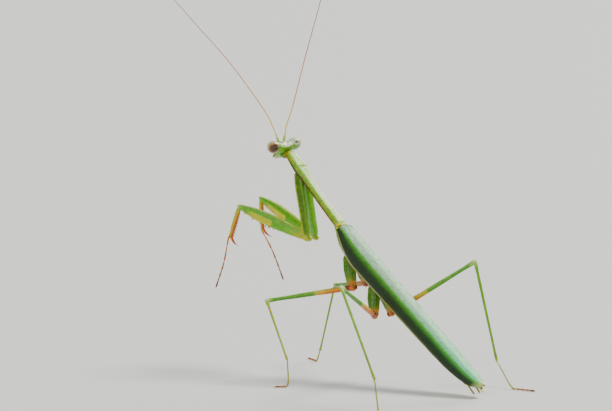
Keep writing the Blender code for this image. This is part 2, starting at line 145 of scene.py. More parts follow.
class Finish:
    """A new material, with short ways to add nodes to it. Each gives back the output that the next reads."""

    def __init__(self, name):
        self.material = bpy.data.materials.new(name)
        self.material.use_nodes = True
        self.tree = self.material.node_tree
        self.link = self.tree.links.new
        self.shader = self.tree.nodes["Principled BSDF"]
        self.lie = self.add("Attribute", attribute_name="lie").outputs["Vector"]
        self.place = self.add("TexCoord").outputs["Object"]

    def add(self, kind, **settings):
        """A new node, with its settings."""
        node = self.tree.nodes.new("ShaderNode" + kind)
        for key, value in settings.items():
            setattr(node, key, value)
        return node

    def axes(self):
        """The three parts of how a point lies: across, up and along."""
        split = self.add("SeparateXYZ")
        self.link(self.lie, split.inputs[0])
        return split.outputs

    def ramp(self, source, stops):
        """A ramp of stops: place, red, green, blue and perhaps strength. Gives colour and strength."""
        node = self.add("ValToRGB")
        elements = node.color_ramp.elements
        while len(elements) < len(stops):
            elements.new(1.0)
        for element, (place, *colour) in zip(elements, stops):
            element.position = place
            element.color = (*colour, 1.0) if len(colour) == 3 else colour
        self.link(source, node.inputs[0])
        return node.outputs["Color"], node.outputs["Alpha"]

    def spread(self, source, low, high, to_low=0.0, to_high=1.0, soft=False):
        """Stretches a value from one range to another, softly at the ends if asked."""
        node = self.add("MapRange", interpolation_type="SMOOTHSTEP" if soft else "LINEAR")
        for socket, value in zip(("From Min", "From Max", "To Min", "To Max"), (low, high, to_low, to_high)):
            node.inputs[socket].default_value = value
        self.link(source, node.inputs["Value"])
        return node.outputs["Result"]

    def over(self, ground, colour, cover, blend="MIX"):
        """Lays a colour, fixed or from a node, over the ground. cover says how much of it shows."""
        node = self.add("Mix", data_type="RGBA", blend_type=blend)
        self.link(ground, node.inputs["A"])
        if isinstance(colour, tuple):
            node.inputs["B"].default_value = (*colour, 1.0)
        else:
            self.link(colour, node.inputs["B"])
        if isinstance(cover, float):
            node.inputs["Factor"].default_value = cover
        else:
            self.link(cover, node.inputs["Factor"])
        return node.outputs["Result"]

    def clouds(self, where, scale, detail, roughness=0.5):
        """Fractal noise, as a value."""
        node = self.add("TexNoise")
        for socket, value in (("Scale", scale), ("Detail", detail), ("Roughness", roughness)):
            node.inputs[socket].default_value = value
        self.link(where, node.inputs["Vector"])
        return node.outputs["Fac"]

    def cells(self, where, scale, **settings):
        """A pattern of cells, as a node."""
        node = self.add("TexVoronoi", **settings)
        node.inputs["Scale"].default_value = scale
        self.link(where, node.inputs["Vector"])
        return node

    def sum(self, operation, first, second, third=None):
        """Arithmetic on outputs and numbers."""
        node = self.add("Math", operation=operation)
        for socket, value in zip(node.inputs, (first, second, third)):
            if isinstance(value, float):
                socket.default_value = value
            elif value:
                self.link(value, socket)
        return node.outputs[0]

    def shaded(self, colour, strength):
        """A colour made darker or lighter by a factor."""
        node = self.add("VectorMath", operation="SCALE")
        self.link(colour, node.inputs[0])
        if isinstance(strength, float):
            node.inputs["Scale"].default_value = strength
        else:
            self.link(strength, node.inputs["Scale"])
        return node.outputs["Vector"]

    def dented(self, height, strength, depth, under=None, invert=False):
        """Fine relief, laid over the relief under it."""
        node = self.add("Bump", invert=invert)
        node.inputs["Strength"].default_value = strength
        node.inputs["Distance"].default_value = depth
        self.link(height, node.inputs["Height"])
        if under:
            self.link(under, node.inputs["Normal"])
        return node.outputs["Normal"]

    def done(self, colour, normal=None, roughness=None, **fixed):
        """Joins the outputs to the shader, sets its other sockets and gives the material."""
        for socket, output in (("Base Color", colour), ("Normal", normal), ("Roughness", roughness)):
            if output:
                self.link(output, self.shader.inputs[socket])
        for socket, value in fixed.items():
            self.shader.inputs[socket.replace("_", " ")].default_value = value
        return self.material


PATCH_SCALE, MOTTLE_SCALE, PORE_SCALE = 1700, 900, 9000      # cells per metre
PORE_DEPTH = 0.000012
WAX_SPREAD = (-0.08, 0.14)                                   # how far the gloss wanders


def cuticle(name, along, above=None, below=None, above_from=(0.45, 0.9), below_from=(-0.1, -0.6),
            roughness=0.34, mottle=0.22, patches=None, glow=0.12):
    """Waxy insect shell. along is a ramp of colours down the length; above and below are ramps laid over
    its upper and under sides, where a stop's strength is how much they cover. patches is a colour that
    breaks up the ground colour in small clouds."""
    finish = Finish(name)
    axes = finish.axes()
    colour = finish.ramp(axes["Z"], along)[0]
    if patches:
        clouds = finish.clouds(finish.place, PATCH_SCALE, 4, 0.6)
        colour = finish.over(colour, patches, finish.spread(clouds, 0.47, 0.62, 0.0, 0.75, soft=True))
    for stops, (start, end) in ((below, below_from), (above, above_from)):
        if stops:
            side_colour, strength = finish.ramp(axes["Z"], stops)
            side = finish.spread(axes["Y"], start, end, soft=True)
            colour = finish.over(colour, side_colour, finish.sum("MULTIPLY", strength, side))
    cloud = finish.clouds(finish.place, MOTTLE_SCALE, 5, 0.6)
    colour = finish.shaded(colour, finish.spread(cloud, 0.3, 0.7, 1 - mottle, 1 + mottle * 0.6))
    pores = finish.cells(finish.place, PORE_SCALE, feature="SMOOTH_F1").outputs["Distance"]
    wax = finish.spread(cloud, 0.0, 1.0, *(roughness + spread for spread in WAX_SPREAD))
    return finish.done(colour, finish.dented(pores, 0.5, PORE_DEPTH), wax, Subsurface_Weight=glow,
                       Subsurface_Scale=0.0006, Specular_IOR_Level=0.35, Coat_Weight=0.08, Coat_Roughness=0.2)


def prothorax_relief(across, up, along):
    """Keel, toothed side rims, the cross groove and the fold at the hind edge."""
    keel = 0.06 * bump(across, 0.0, 0.10) * (up > 0)
    rim = 0.16 * bump(up, -0.28, 0.13)
    groove = -0.14 * bump(along, 0.785, 0.009) * max(0.0, up + 0.1)
    lobes = 0.05 * bump(abs(across), 0.5, 0.2) * bump(along, 0.86, 0.05) * max(0.0, up)
    fold = (0.11 * bump(along, 0.014, 0.010) - 0.07 * bump(along, 0.036, 0.010)) * max(0.0, up + 0.5)
    return keel + rim + groove + lobes + fold


PROTHORAX_REAR, PROTHORAX_FRONT = -0.6, 21.6
HIND_SLANT, HIND_SLANT_REACH = 0.55, 2.4                     # the hind edge is cut aslant, over this length
# Place along the prothorax, half width, half depth, and how far the back sags below a straight line.
prothorax_knots = (
    (PROTHORAX_REAR, 1.35, 0.66, 0.0), (-0.2, 1.55, 0.78, -0.05), (1.5, 1.55, 0.92, -0.1),
    (4.0, 1.4, 0.9, 0.05), (8.0, 1.32, 0.83, 0.25), (12.0, 1.36, 0.83, 0.2), (14.5, 1.6, 0.9, 0.05),
    (16.6, 2.0, 0.93, -0.15), (18.4, 1.95, 0.88, -0.2), (20.2, 1.7, 0.83, -0.15), (21.2, 1.42, 0.74, -0.05),
    (PROTHORAX_FRONT, 1.05, 0.55, 0.12))
prothorax_stations = []
for place, half_width, half_depth, sag in smooth_run(prothorax_knots, 12):
    from_rear = place - PROTHORAX_REAR
    slant = HIND_SLANT * max(0.0, 1 - from_rear / HIND_SLANT_REACH)
    up = FORWARD_DORSAL - FORWARD * slant
    centre = HINGE + FORWARD * (place + slant * half_depth) - FORWARD_DORSAL * (half_depth + sag)
    along = from_rear / (PROTHORAX_FRONT - PROTHORAX_REAR)
    prothorax_stations.append((centre, LEFT, up, half_width, half_depth, along))
prothorax = new_skin()
tube(prothorax, prothorax_stations, 56, 2.2, prothorax_relief)
# The pale mint laid over the shield's upper side is painted highlight.
shield_green = cuticle(
    "waxy green shield with painted highlight",
    ((0.0, 0.62, 0.50, 0.004), (0.028, 0.50, 0.46, 0.003), (0.05, 0.14, 0.34, 0.002),
     (0.3, 0.17, 0.37, 0.002), (0.8, 0.11, 0.34, 0.002), (0.955, 0.17, 0.40, 0.002),
     (1.0, 0.45, 0.09, 0.002)),
    above=((0.0, 0.60, 0.52, 0.02, 0.8), (0.05, 0.34, 0.56, 0.02, 0.5), (0.6, 0.32, 0.56, 0.02, 0.5),
           (1.0, 0.42, 0.66, 0.08, 0.6)),
    below=((0.0, 0.30, 0.16, 0.004, 0.8), (0.25, 0.20, 0.05, 0.003, 0.9), (0.6, 0.10, 0.018, 0.003, 1.0),
           (0.85, 0.06, 0.008, 0.002, 1.0), (0.93, 0.42, 0.07, 0.002, 0.9), (1.0, 0.45, 0.07, 0.002, 0.9)),
    above_from=(0.55, 1.0), below_from=(0.16, -0.14), mottle=0.3, patches=(0.34, 0.46, 0.004))
settle("prothorax_shield", prothorax, shield_green, "body", "prothorax")

RIM_TEETH = 46
rim_teeth = new_skin()
for side in (1, -1):
    for i in range(RIM_TEETH):
        place = 2.0 + 19.0 * i / (RIM_TEETH - 1)
        near = min(prothorax_stations, key=lambda s: abs((s[0] - HINGE).dot(FORWARD) - place))
        centre, _, _, half_width, half_depth, _ = near
        root = centre + LEFT * side * (half_width + 0.07) * 0.965 - FORWARD_DORSAL * (0.31 * half_depth)
        thorn(rim_teeth, root, root + LEFT * side * 0.14 + FORWARD * 0.03, 0.05, sides=6)
tooth_amber = cuticle("amber teeth", ((0.0, 0.378, 0.119, 0.002), (1.0, 0.093, 0.018, 0.001)), mottle=0.1)
settle("prothorax_rim_teeth", rim_teeth, tooth_amber, "body")

# --- Thorax -------------------------------------------------------------------------------------
# The wing-bearing second and third thoracic segments: a box of side plates with oblique sutures,
# and on top, in front of the wing bases, the small domed back plate that the prothorax hinges on.
WING_PITCH = math.radians(38.4)
BACKWARD = Vector((0.0, math.cos(WING_PITCH), -math.sin(WING_PITCH)))
BACKWARD_DORSAL = Vector((0.0, math.sin(WING_PITCH), math.cos(WING_PITCH)))


def on_body(back, depth, left=0.0):
    """A point of the wing and abdomen frame: distance back, depth below the wing tops, and left."""
    return HINGE + BACKWARD * back - BACKWARD_DORSAL * depth + LEFT * left


def body_ring(back, depth, half_width, half_depth, along):
    """A station of a tube that runs backward along the body."""
    return on_body(back, depth), LEFT, BACKWARD_DORSAL, half_width, half_depth, along


def thorax_relief(across, up, along):
    """Sutures between the side plates, a waist between the two segments and a furrow underneath."""
    slanted = along + 0.05 * up
    sutures = sum(bump(slanted, place, 0.012) for place in (0.2, 0.36, 0.5, 0.66, 0.84))
    plates = 0.05 * math.sin(9 * math.pi * slanted) * bump(up, -0.2, 0.5)
    return plates - 0.09 * sutures - 0.10 * bump(along, 0.5, 0.03) - 0.12 * bump(across, 0.0, 0.15) * (up < 0)


THORAX_START, THORAX_LENGTH = -0.9, 18.3
# Place back along the body, half width, and how deep the top and the bottom lie.
thorax_knots = (
    (THORAX_START, 0.95, 0.9, 2.0), (0.4, 1.25, 0.7, 2.6), (1.4, 1.45, 0.75, 3.3), (3.4, 1.6, 0.95, 4.3),
    (7.0, 1.68, 1.1, 4.5), (11.0, 1.68, 1.2, 4.5), (14.5, 1.63, 1.3, 4.5), (17.4, 1.4, 1.4, 4.2))
thorax_stations = []
for back, half_width, top, bottom in smooth_run(thorax_knots, 12):
    along = (back - THORAX_START) / THORAX_LENGTH
    thorax_stations.append(body_ring(back, (top + bottom) / 2, half_width, (bottom - top) / 2, along))
thorax = new_skin()
tube(thorax, thorax_stations, 48, 2.5, thorax_relief)
side_plate_green = cuticle(
    "thorax side plates",
    ((0.0, 0.31, 0.46, 0.009), (0.3, 0.13, 0.299, 0.005), (1.0, 0.095, 0.26, 0.005)),
    below=((0.0, 0.357, 0.378, 0.033, 0.7), (1.0, 0.274, 0.358, 0.034, 0.7)),
    below_from=(-0.5, -0.9), mottle=0.3)
settle("thorax_side_plates", thorax, side_plate_green, "body", "thorax")

BACK_PLATE_HALF_DEPTH = 0.55
# Place back along the body, half width, and how deep the top lies.
back_plate_knots = ((-1.1, 0.5, 1.0), (-0.6, 1.2, 0.62), (0.3, 1.55, 0.42), (1.6, 1.6, 0.5), (3.0, 1.3, 0.75),
                    (3.6, 0.6, 1.0))
back_plate = new_skin()
back_plate_stations = []
for back, half_width, depth in smooth_run(back_plate_knots, 8):
    back_plate_stations.append(body_ring(back, depth + BACK_PLATE_HALF_DEPTH, half_width,
                                         BACK_PLATE_HALF_DEPTH, back))
tube(back_plate, back_plate_stations, 32, 2.2)
# Its pale yellow-white is partly the plate's own colour and partly painted highlight on the folded shoulders.
pale_fold = cuticle("pale folded cuticle with painted highlight",
                    ((0.0, 0.583, 0.628, 0.056), (0.4, 0.45, 0.628, 0.121), (1.0, 0.498, 0.757, 0.264)))
settle("thorax_back_plate", back_plate, pale_fold, "body")

# --- Neck ---------------------------------------------------------------------------------------
# The soft skin tube that carries the head: thin green membrane thrown into folds, growing out of the
# back of the head and into the front of the prothorax.
HEAD_CENTRE = Vector((-0.18, -18.11, 49.2))
HEAD_YAW, HEAD_ROLL, HEAD_TIP = (math.radians(angle) for angle in (-18.7, 6.5, -57.0))
HEAD_FRAME = (Matrix.Translation(HEAD_CENTRE) @ Matrix.Rotation(HEAD_YAW, 4, "Z")
              @ Matrix.Rotation(HEAD_ROLL, 4, "Y") @ Matrix.Rotation(HEAD_TIP, 4, "X"))


def dome(station, out):
    """Rings that close the end of a limb roundly, over the distance and direction out."""
    centre, across, up, half_width, half_depth, along = station
    rings = []
    for t in (0.3, 0.6, 0.85, 0.97):
        shrink = math.cos(math.pi / 2 * t)
        rings.append((centre + out * math.sin(math.pi / 2 * t), across, up,
                      half_width * shrink, half_depth * shrink, along))
    return rings


def limb(bm, path, up, shape, sides=20, squareness=2.0, relief=None, domes=(0.5, 0.5)):
    """A tube along a path with rounded ends. up points out of its back, and shape gives the half width
    and half depth at a place from 0 to 1. domes are the lengths of the rounded ends."""
    last = len(path) - 1
    stations = []
    for i, point in enumerate(path):
        tangent = (path[min(i + 1, last)] - path[max(i - 1, 0)]).normalized()
        across = tangent.cross(up).normalized()
        stations.append((point, across, across.cross(tangent), *shape(i / last), i / last))
    start_out = (path[0] - path[1]).normalized() * domes[0]
    end_out = (path[-1] - path[-2]).normalized() * domes[1]
    stations = dome(stations[0], start_out)[::-1] + stations + dome(stations[-1], end_out)
    tube(bm, stations, sides, squareness, relief)


def limb_piece(name, material, slot, node, path, up, shape, *dressing, **settings):
    """A limb that is a piece of its own and stands for one CAD node."""
    skin = new_skin()
    limb(skin, path, up, shape, *dressing, **settings)
    settle(name, skin, material, slot, node)


def profile(knots):
    """A shape function from knots of place, half width and half depth, joined smoothly."""
    def shape(place):
        for (start, *low), (end, *high) in zip(knots, knots[1:]):
            if place <= end:
                t = (place - start) / (end - start)
                t = t * t * (3 - 2 * t)
                return tuple(a + (b - a) * t for a, b in zip(low, high))
        return knots[-1][1:]
    return shape


NECK_END_DEPTH, NECK_BEND_DEPTH = 0.72, 0.78                 # under the back of the prothorax
neck_path = smooth_run((HEAD_FRAME @ Vector((0.0, 0.6, -0.3)), HEAD_FRAME @ Vector((0.0, 1.6, -0.45)),
                        HINGE + FORWARD * 21.5 - FORWARD_DORSAL * NECK_BEND_DEPTH,
                        HINGE + FORWARD * 20.2 - FORWARD_DORSAL * NECK_END_DEPTH), 14)


def neck_folds(across, up, along):
    """Rings and slanting creases that fade out inside the prothorax."""
    folds = 0.05 * math.sin(along * 58) + 0.03 * math.sin(across * 9 + along * 20)
    return folds * min(1.0, 3 * (1 - along))


# The neck's dark green is painted shade under the head and the prothorax.
neck_skin = cuticle("soft neck skin with painted shade",
                    ((0.0, 0.08, 0.24, 0.003), (0.5, 0.09, 0.25, 0.003), (1.0, 0.24, 0.20, 0.004)),
                    below=((0.0, 0.13, 0.27, 0.006, 0.6), (1.0, 0.22, 0.28, 0.01, 0.6)), roughness=0.5)
limb_piece("neck_skin", neck_skin, "body", "neck", neck_path, FORWARD_DORSAL,
           profile(((0, 1.1, 1.0), (0.4, 0.92, 0.70), (0.7, 0.9, 0.54), (1, 0.8, 0.4))), 36,
           relief=neck_folds)

# --- Head ---------------------------------------------------------------------------------------
# A triangular capsule of thin hard cuticle, wide at the crown where the eyes sit and narrow at the
# mouth. Seams cross the crown, a small raised shield lies between the antennae and the upper lip.
# Drawn in the head's own frame: face to -y, crown to +z.


def head_relief(across, up, along):
    """Seams on crown and cheeks, and the ridges that part brow, shield and lip plate. up faces the back."""
    face = max(0.0, -up)
    crown_seam = -0.05 * bump(across, 0.0, 0.035) * bump(along, 0.12, 0.25)
    side_seams = -0.06 * bump(abs(across), 0.47 - 0.25 * along, 0.03) * bump(along, 0.1, 0.22)
    brow = 0.07 * bump(along, 0.36, 0.02) * face * bump(across, 0.0, 0.6)
    shield = 0.07 * bump(across, 0.0, 0.42) * bump(along, 0.56, 0.10) * face
    lip_line = -0.07 * bump(along, 0.735, 0.013) * face
    cheek = -0.05 * bump(abs(across), 0.78, 0.05) * bump(along, 0.67, 0.2)
    nape = 0.10 * bump(along, 0.26, 0.05) * max(0.0, up) - 0.10 * bump(along, 0.42, 0.05) * max(0.0, up)
    return crown_seam + side_seams + brow + shield + lip_line + cheek + nape


HEAD_TOP, HEAD_BOTTOM = 2.24, -3.0
# Height, half width, half depth, and how far behind the head's axis the middle lies.
head_knots = (
    (HEAD_TOP, 0.4, 0.16, 0.35), (2.18, 0.95, 0.38, 0.32), (1.98, 1.66, 0.76, 0.20), (1.4, 2.22, 1.13, 0.16),
    (1.0, 2.29, 1.27, 0.08), (0.5, 2.3, 1.44, 0.0), (-0.6, 2.0, 1.41, 0.0), (-1.7, 1.42, 1.22, -0.05),
    (-2.6, 0.98, 0.93, -0.15), (HEAD_BOTTOM, 0.8, 0.8, -0.2))
BEHIND = Vector((0, 1, 0))
head_stations = []
for height, half_width, half_depth, centre in smooth_run(head_knots, 10):
    along = (HEAD_TOP - height) / (HEAD_TOP - HEAD_BOTTOM)
    head_stations.append((Vector((0, centre, height)), LEFT, BEHIND, half_width, half_depth, along))
head = new_skin()
tube(head, head_stations, 72, 2.3, head_relief)


def press(bm, place, reach, push):
    """Pushes the skin near a place out or in, dying away smoothly with distance."""
    for vert in bm.verts:
        fade = math.exp(-((vert.co - place).length / reach) ** 2)
        if fade > 0.01:
            vert.co += push * fade


ANTENNA_SOCKET = Vector((0.65, -1.34, 0.42))
OCELLUS_RADIUS = 0.21
OCELLI = (Vector((0.0, -0.95, 1.32)), Vector((0.64, -0.42, 1.99)), Vector((-0.64, -0.42, 1.99)))
for side in (1, -1):
    socket = Vector((side * ANTENNA_SOCKET.x, ANTENNA_SOCKET.y, ANTENNA_SOCKET.z))
    press(head, socket, 0.45, Vector((0, -0.12, 0)))
    press(head, socket, 0.2, Vector((0, 0.14, 0)))
    press(head, Vector((side * 1.35, 0.3, 1.95)), 0.5, Vector((side * 0.02, 0.0, 0.10)))
    press(head, Vector((side * 0.62, -0.62, 1.8)), 0.32, Vector((0, -0.06, 0.08)))
press(head, Vector((0, 0.2, 2.2)), 0.6, Vector((0, 0.0, -0.08)))
bmesh.ops.transform(head, matrix=HEAD_FRAME, verts=head.verts)
# The near white at the top of the along ramp and on the face side next to it is painted highlight on the
# crown.
head_green = cuticle(
    "head capsule green",
    ((0.0, 0.66, 0.78, 0.48), (0.026, 0.62, 0.76, 0.40), (0.046, 0.13, 0.38, 0.003), (0.4, 0.13, 0.36, 0.002),
     (0.7, 0.16, 0.38, 0.003), (1.0, 0.36, 0.42, 0.01)),
    above=((0.03, 0.17, 0.40, 0.002, 0.0), (0.046, 0.15, 0.38, 0.002, 0.9), (0.5, 0.13, 0.35, 0.002, 0.9),
           (1.0, 0.30, 0.40, 0.004, 0.9)),
    below=((0.0, 0.70, 0.80, 0.50, 0.8), (0.12, 0.56, 0.72, 0.26, 0.7), (0.25, 0.28, 0.50, 0.02, 0.6),
           (0.6, 0.26, 0.48, 0.01, 0.6), (1.0, 0.42, 0.50, 0.02, 0.8)),
    above_from=(0.1, 0.8), below_from=(-0.1, -0.8), roughness=0.3, patches=(0.24, 0.44, 0.004))
settle("head_capsule", head, head_green, "body", "head")

ocelli = new_skin()
for place in OCELLI:
    bmesh.ops.create_uvsphere(ocelli, u_segments=20, v_segments=12, radius=OCELLUS_RADIUS,
                              matrix=HEAD_FRAME @ Matrix.Translation(place) @ Matrix.Diagonal((1, 1, 0.9, 1)))
finish = Finish("dark red ocellus")
slant = finish.add("LayerWeight")
slant.inputs["Blend"].default_value = 0.35
# Lighter red toward the outline, following the view angle: a painted sheen.
ocellus_red = finish.ramp(slant.outputs["Facing"], ((0.0, 0.10, 0.02, 0.01), (1.0, 0.42, 0.16, 0.06)))[0]
settle("ocelli", ocelli, finish.done(ocellus_red, Roughness=0.08, Coat_Weight=1.0), "eye")

# --- Eyes ---------------------------------------------------------------------------------------
# Two big egg-shaped compound eyes on the corners of the head, glossy and finely faceted. The facets are
# tan and run to mint beside the crown, where the mint is painted highlight. A living eye shows a dark spot
# where one looks straight into its facets: the left eye's is brown. The right eye's teal spot is painted
# shade.
EYE_CENTRE = Vector((2.62, -0.25, 0.75))
EYE_RADII = Vector((1.48, 1.3, 1.72))
EYE_LEAN = math.radians(16)
EYE_RIM_SLICE = -0.58                                        # how far out the rim lies on an eye of radius 1
EYE_RIM_RADIUS, EYE_RIM_STEPS = 0.06, 48
FACET_SCALE, FACET_DEPTH = 28, 0.00001


def eye_facets(name, spot_place, spot_size, spot_stops, inner_from, green):
    """Tan facets, pale with painted highlight inside inner_from, with a dark spot about a point of the unit
    sphere. green is how much the hind underside takes the head's colour."""
    finish = Finish(name)
    bands = finish.add("TexWave", bands_direction="X")
    for socket, value in (("Scale", 2.2), ("Distortion", 2.5), ("Detail", 2)):
        bands.inputs[socket].default_value = value
    finish.link(finish.lie, bands.inputs["Vector"])
    colour = finish.ramp(bands.outputs["Fac"], ((0.0, 0.56, 0.42, 0.19), (1.0, 0.60, 0.46, 0.22)))[0]
    inner = finish.spread(finish.axes()["X"], inner_from, inner_from - 0.4, soft=True)
    # Pale mint inside inner_from: painted highlight.
    colour = finish.over(colour, (0.70, 0.78, 0.58), inner)

    hind = finish.add("VectorMath", operation="DOT_PRODUCT")
    hind.inputs[1].default_value = (-0.10, 0.86, -0.50)
    finish.link(finish.lie, hind.inputs[0])
    hind_part = finish.spread(hind.outputs["Value"], 0.12, 0.42, 0.0, green, soft=True)
    colour = finish.over(colour, (0.14, 0.36, 0.008), hind_part)

    spot = finish.add("VectorMath", operation="DISTANCE")
    spot.inputs[1].default_value = spot_place
    finish.link(finish.lie, spot.inputs[0])
    ragged = finish.sum("MULTIPLY_ADD", finish.clouds(finish.lie, 3.0, 3), 0.30, spot.outputs["Value"])
    spot_colour, spot_cover = finish.ramp(finish.spread(ragged, 0.0, spot_size), spot_stops)
    colour = finish.over(colour, spot_colour, spot_cover)

    facets = finish.cells(finish.lie, FACET_SCALE)
    facets.inputs["Randomness"].default_value = 0.25
    lenses = finish.dented(facets.outputs["Distance"], 0.35, FACET_DEPTH, invert=True)
    return finish.done(colour, lenses, Roughness=0.26, Coat_Weight=0.25, Coat_Roughness=0.12)


HEAD_LEFT, HEAD_BACK = HEAD_FRAME.to_3x3() @ LEFT, HEAD_FRAME.to_3x3() @ BEHIND
BROWN_SPOT = ((0.0, 0.040, 0.014, 0.001, 1.0), (0.5, 0.07, 0.025, 0.001, 1.0), (0.66, 0.15, 0.06, 0.004, 1.0),
              (0.82, 0.42, 0.25, 0.06, 0.7), (1.0, 0.60, 0.46, 0.22, 0.0))
# The right eye's dark teal spot is painted shade beside its rim.
TEAL_SHADE_SPOT = ((0.0, 0.012, 0.07, 0.06, 0.95), (0.55, 0.02, 0.12, 0.09, 0.9), (0.8, 0.16, 0.26, 0.18, 0.4),
             (1.0, 0.5, 0.5, 0.4, 0.0))
for name, side, spot_place, spot_size, spot_stops, inner_from, green in (
        ("L", 1, (0.20, 0.68, 0.70), 1.28, BROWN_SPOT, -0.15, 0.0),
        ("R", -1, (-0.33, 0.30, 0.89), 0.52, TEAL_SHADE_SPOT, 0.05, 0.92)):
    eye = bmesh.new()
    bmesh.ops.create_uvsphere(eye, u_segments=64, v_segments=40, radius=1.0)
    eye_lie = eye.verts.layers.float_vector.new("lie")
    for vert in eye.verts:
        vert[eye_lie] = (vert.co.x * side, vert.co.y, vert.co.z)
        fullness = 1 + 0.03 * bump(vert.co.x * side, 0.4, 0.5)
        vert.co = vert.co * fullness
    eye_place = (Matrix.Translation((side * EYE_CENTRE.x, EYE_CENTRE.y, EYE_CENTRE.z))
                 @ Matrix.Rotation(side * EYE_LEAN, 4, "Y"))
    eye_shape = HEAD_FRAME @ eye_place @ Matrix.Diagonal((*EYE_RADII, 1.0))
    bmesh.ops.transform(eye, matrix=eye_shape, verts=eye.verts)
    eye_surface = eye_facets("eye facets " + name, spot_place, spot_size, spot_stops, inner_from, green)
    settle("compound_eye_" + name, eye, eye_surface, "eye", "eye_" + name)

    rim = new_skin()
    rim_path = []
    rim_size = math.sqrt(1 - EYE_RIM_SLICE ** 2)
    for i in range(EYE_RIM_STEPS + 1):
        turn = math.tau * i / EYE_RIM_STEPS
        unit = Vector((side * EYE_RIM_SLICE, rim_size * math.cos(turn), rim_size * math.sin(turn)))
        rim_path.append(HEAD_FRAME @ eye_place @ Vector(a * b for a, b in zip(unit, EYE_RADII)))
    limb(rim, rim_path, HEAD_LEFT, lambda place: (EYE_RIM_RADIUS, EYE_RIM_RADIUS), 8, domes=(0.0, 0.0))
    rim_cuticle = cuticle("eye rim", ((0.0, 0.20, 0.34, 0.02), (1.0, 0.20, 0.34, 0.02)), mottle=0.3)
    settle("eye_rim_" + name, rim, rim_cuticle, "body")

# --- Mouthparts ---------------------------------------------------------------------------------
# Under the lip plate hang the upper lip, two hard jaws with dark teeth and the lower lip behind them,
# with a five-jointed palp on each side for handling food and a shorter pair behind.
LIP_TOP, LIP_LENGTH = -2.7, 1.15
# Height, half width, half depth, and how far behind the head's axis the middle lies.
lip_knots = ((LIP_TOP, 0.86, 0.5, -0.55), (-3.1, 0.8, 0.42, -0.6), (-3.5, 0.66, 0.32, -0.55),
             (LIP_TOP - LIP_LENGTH, 0.36, 0.2, -0.45))


def head_run(knots, steps):
    """A smooth path through places given in the head's frame."""
    return [HEAD_FRAME @ point for point in smooth_run(knots, steps)]


upper_lip = new_skin()
lip_stations = []
for height, half_width, half_depth, centre in smooth_run(lip_knots, 8):
    place = HEAD_FRAME @ Vector((0, centre, height))
    along = (LIP_TOP - height) / LIP_LENGTH
    lip_stations.append((place, HEAD_LEFT, -HEAD_BACK, half_width, half_depth, along))
tube(upper_lip, lip_stations, 32, 2.4, lambda across, up, along: -0.05 * bump(across, 0, 0.1) * up)
lip_green = cuticle("upper lip",
                    ((0.0, 0.249, 0.46, 0.013), (0.7, 0.56, 0.628, 0.164), (1.0, 0.845, 0.845, 0.595)))
settle("mouth_upper_lip", upper_lip, lip_green, "body", "mouth")

jaws = new_skin()
for side in (1, -1):
    jaw_path = head_run(((side * 0.75, -0.1, -2.5), (side * 0.82, -0.2, -3.2), (side * 0.55, -0.3, -3.8),
                         (side * 0.12, -0.32, -4.1)), 8)
    limb(jaws, jaw_path, -HEAD_BACK, profile(((0, 0.34, 0.4), (0.5, 0.32, 0.36), (1, 0.08, 0.12))), 16,
         domes=(0.1, 0.06))
jaw_horn = cuticle(
    "horny jaws", ((0.0, 0.251, 0.419, 0.021), (0.55, 0.409, 0.251, 0.013), (0.8, 0.093, 0.025, 0.004),
                   (1.0, 0.02, 0.007, 0.003)), roughness=0.25)
settle("mouth_jaws", jaws, jaw_horn, "body")

lower_lip = new_skin()
limb(lower_lip, head_run(((0, 0.45, -2.3), (0, 0.4, -3.1), (0, 0.2, -3.9)), 8), HEAD_BACK,
     profile(((0, 0.75, 0.35), (0.6, 0.62, 0.3), (1, 0.4, 0.16))), 24,
     relief=lambda across, up, along: -0.10 * bump(across, 0.0, 0.12) * (along > 0.4))
settle("mouth_lower_lip", lower_lip, lip_green, "body")

palp_green = cuticle(
    "palp cuticle", ((0.0, 0.229, 0.46, 0.013), (0.6, 0.21, 0.46, 0.009), (0.85, 0.585, 0.367, 0.008),
                     (1.0, 0.671, 0.204, 0.003)))


def jointed(joints, slim, swollen):
    """A shape for feelers: slim through each joint and swollen at its far end."""
    def shape(place):
        for start, end in zip(joints, joints[1:]):
            if place <= end:
                t = (place - start) / (end - start)
                size = slim + (swollen - slim) * math.sin(math.pi / 2 * t) ** 3
                pinch = 1 - 0.45 * bump(t, 1.0, 0.05) - 0.25 * bump(t, 0.0, 0.06)
                return size * pinch, size * pinch
        return slim, slim
    return shape


for name, side in (("L", 1), ("R", -1)):
    palp = new_skin()
    palp_path = head_run(((side * 1.15, 0.5, -1.9), (side * 1.45, 0.55, -2.5), (side * 1.48, 0.35, -3.0),
                          (side * 1.25, 0.07, -3.5), (side * 0.9, -0.17, -3.97)), 12)
    limb(palp, palp_path, HEAD_BACK, jointed((0, 0.12, 0.26, 0.5, 0.75, 1.0), 0.13, 0.19), 14,
         domes=(0.1, 0.16))
    short_path = head_run(((side * 0.45, 0.5, -3.0), (side * 0.75, 0.5, -3.6), (side * 0.5, 0.25, -4.2)), 10)
    limb(palp, short_path, HEAD_BACK, jointed((0, 0.35, 0.7, 1.0), 0.10, 0.15), 12, domes=(0.08, 0.12))
    settle("palps_" + name, palp, palp_green, "body", "palp_" + name)

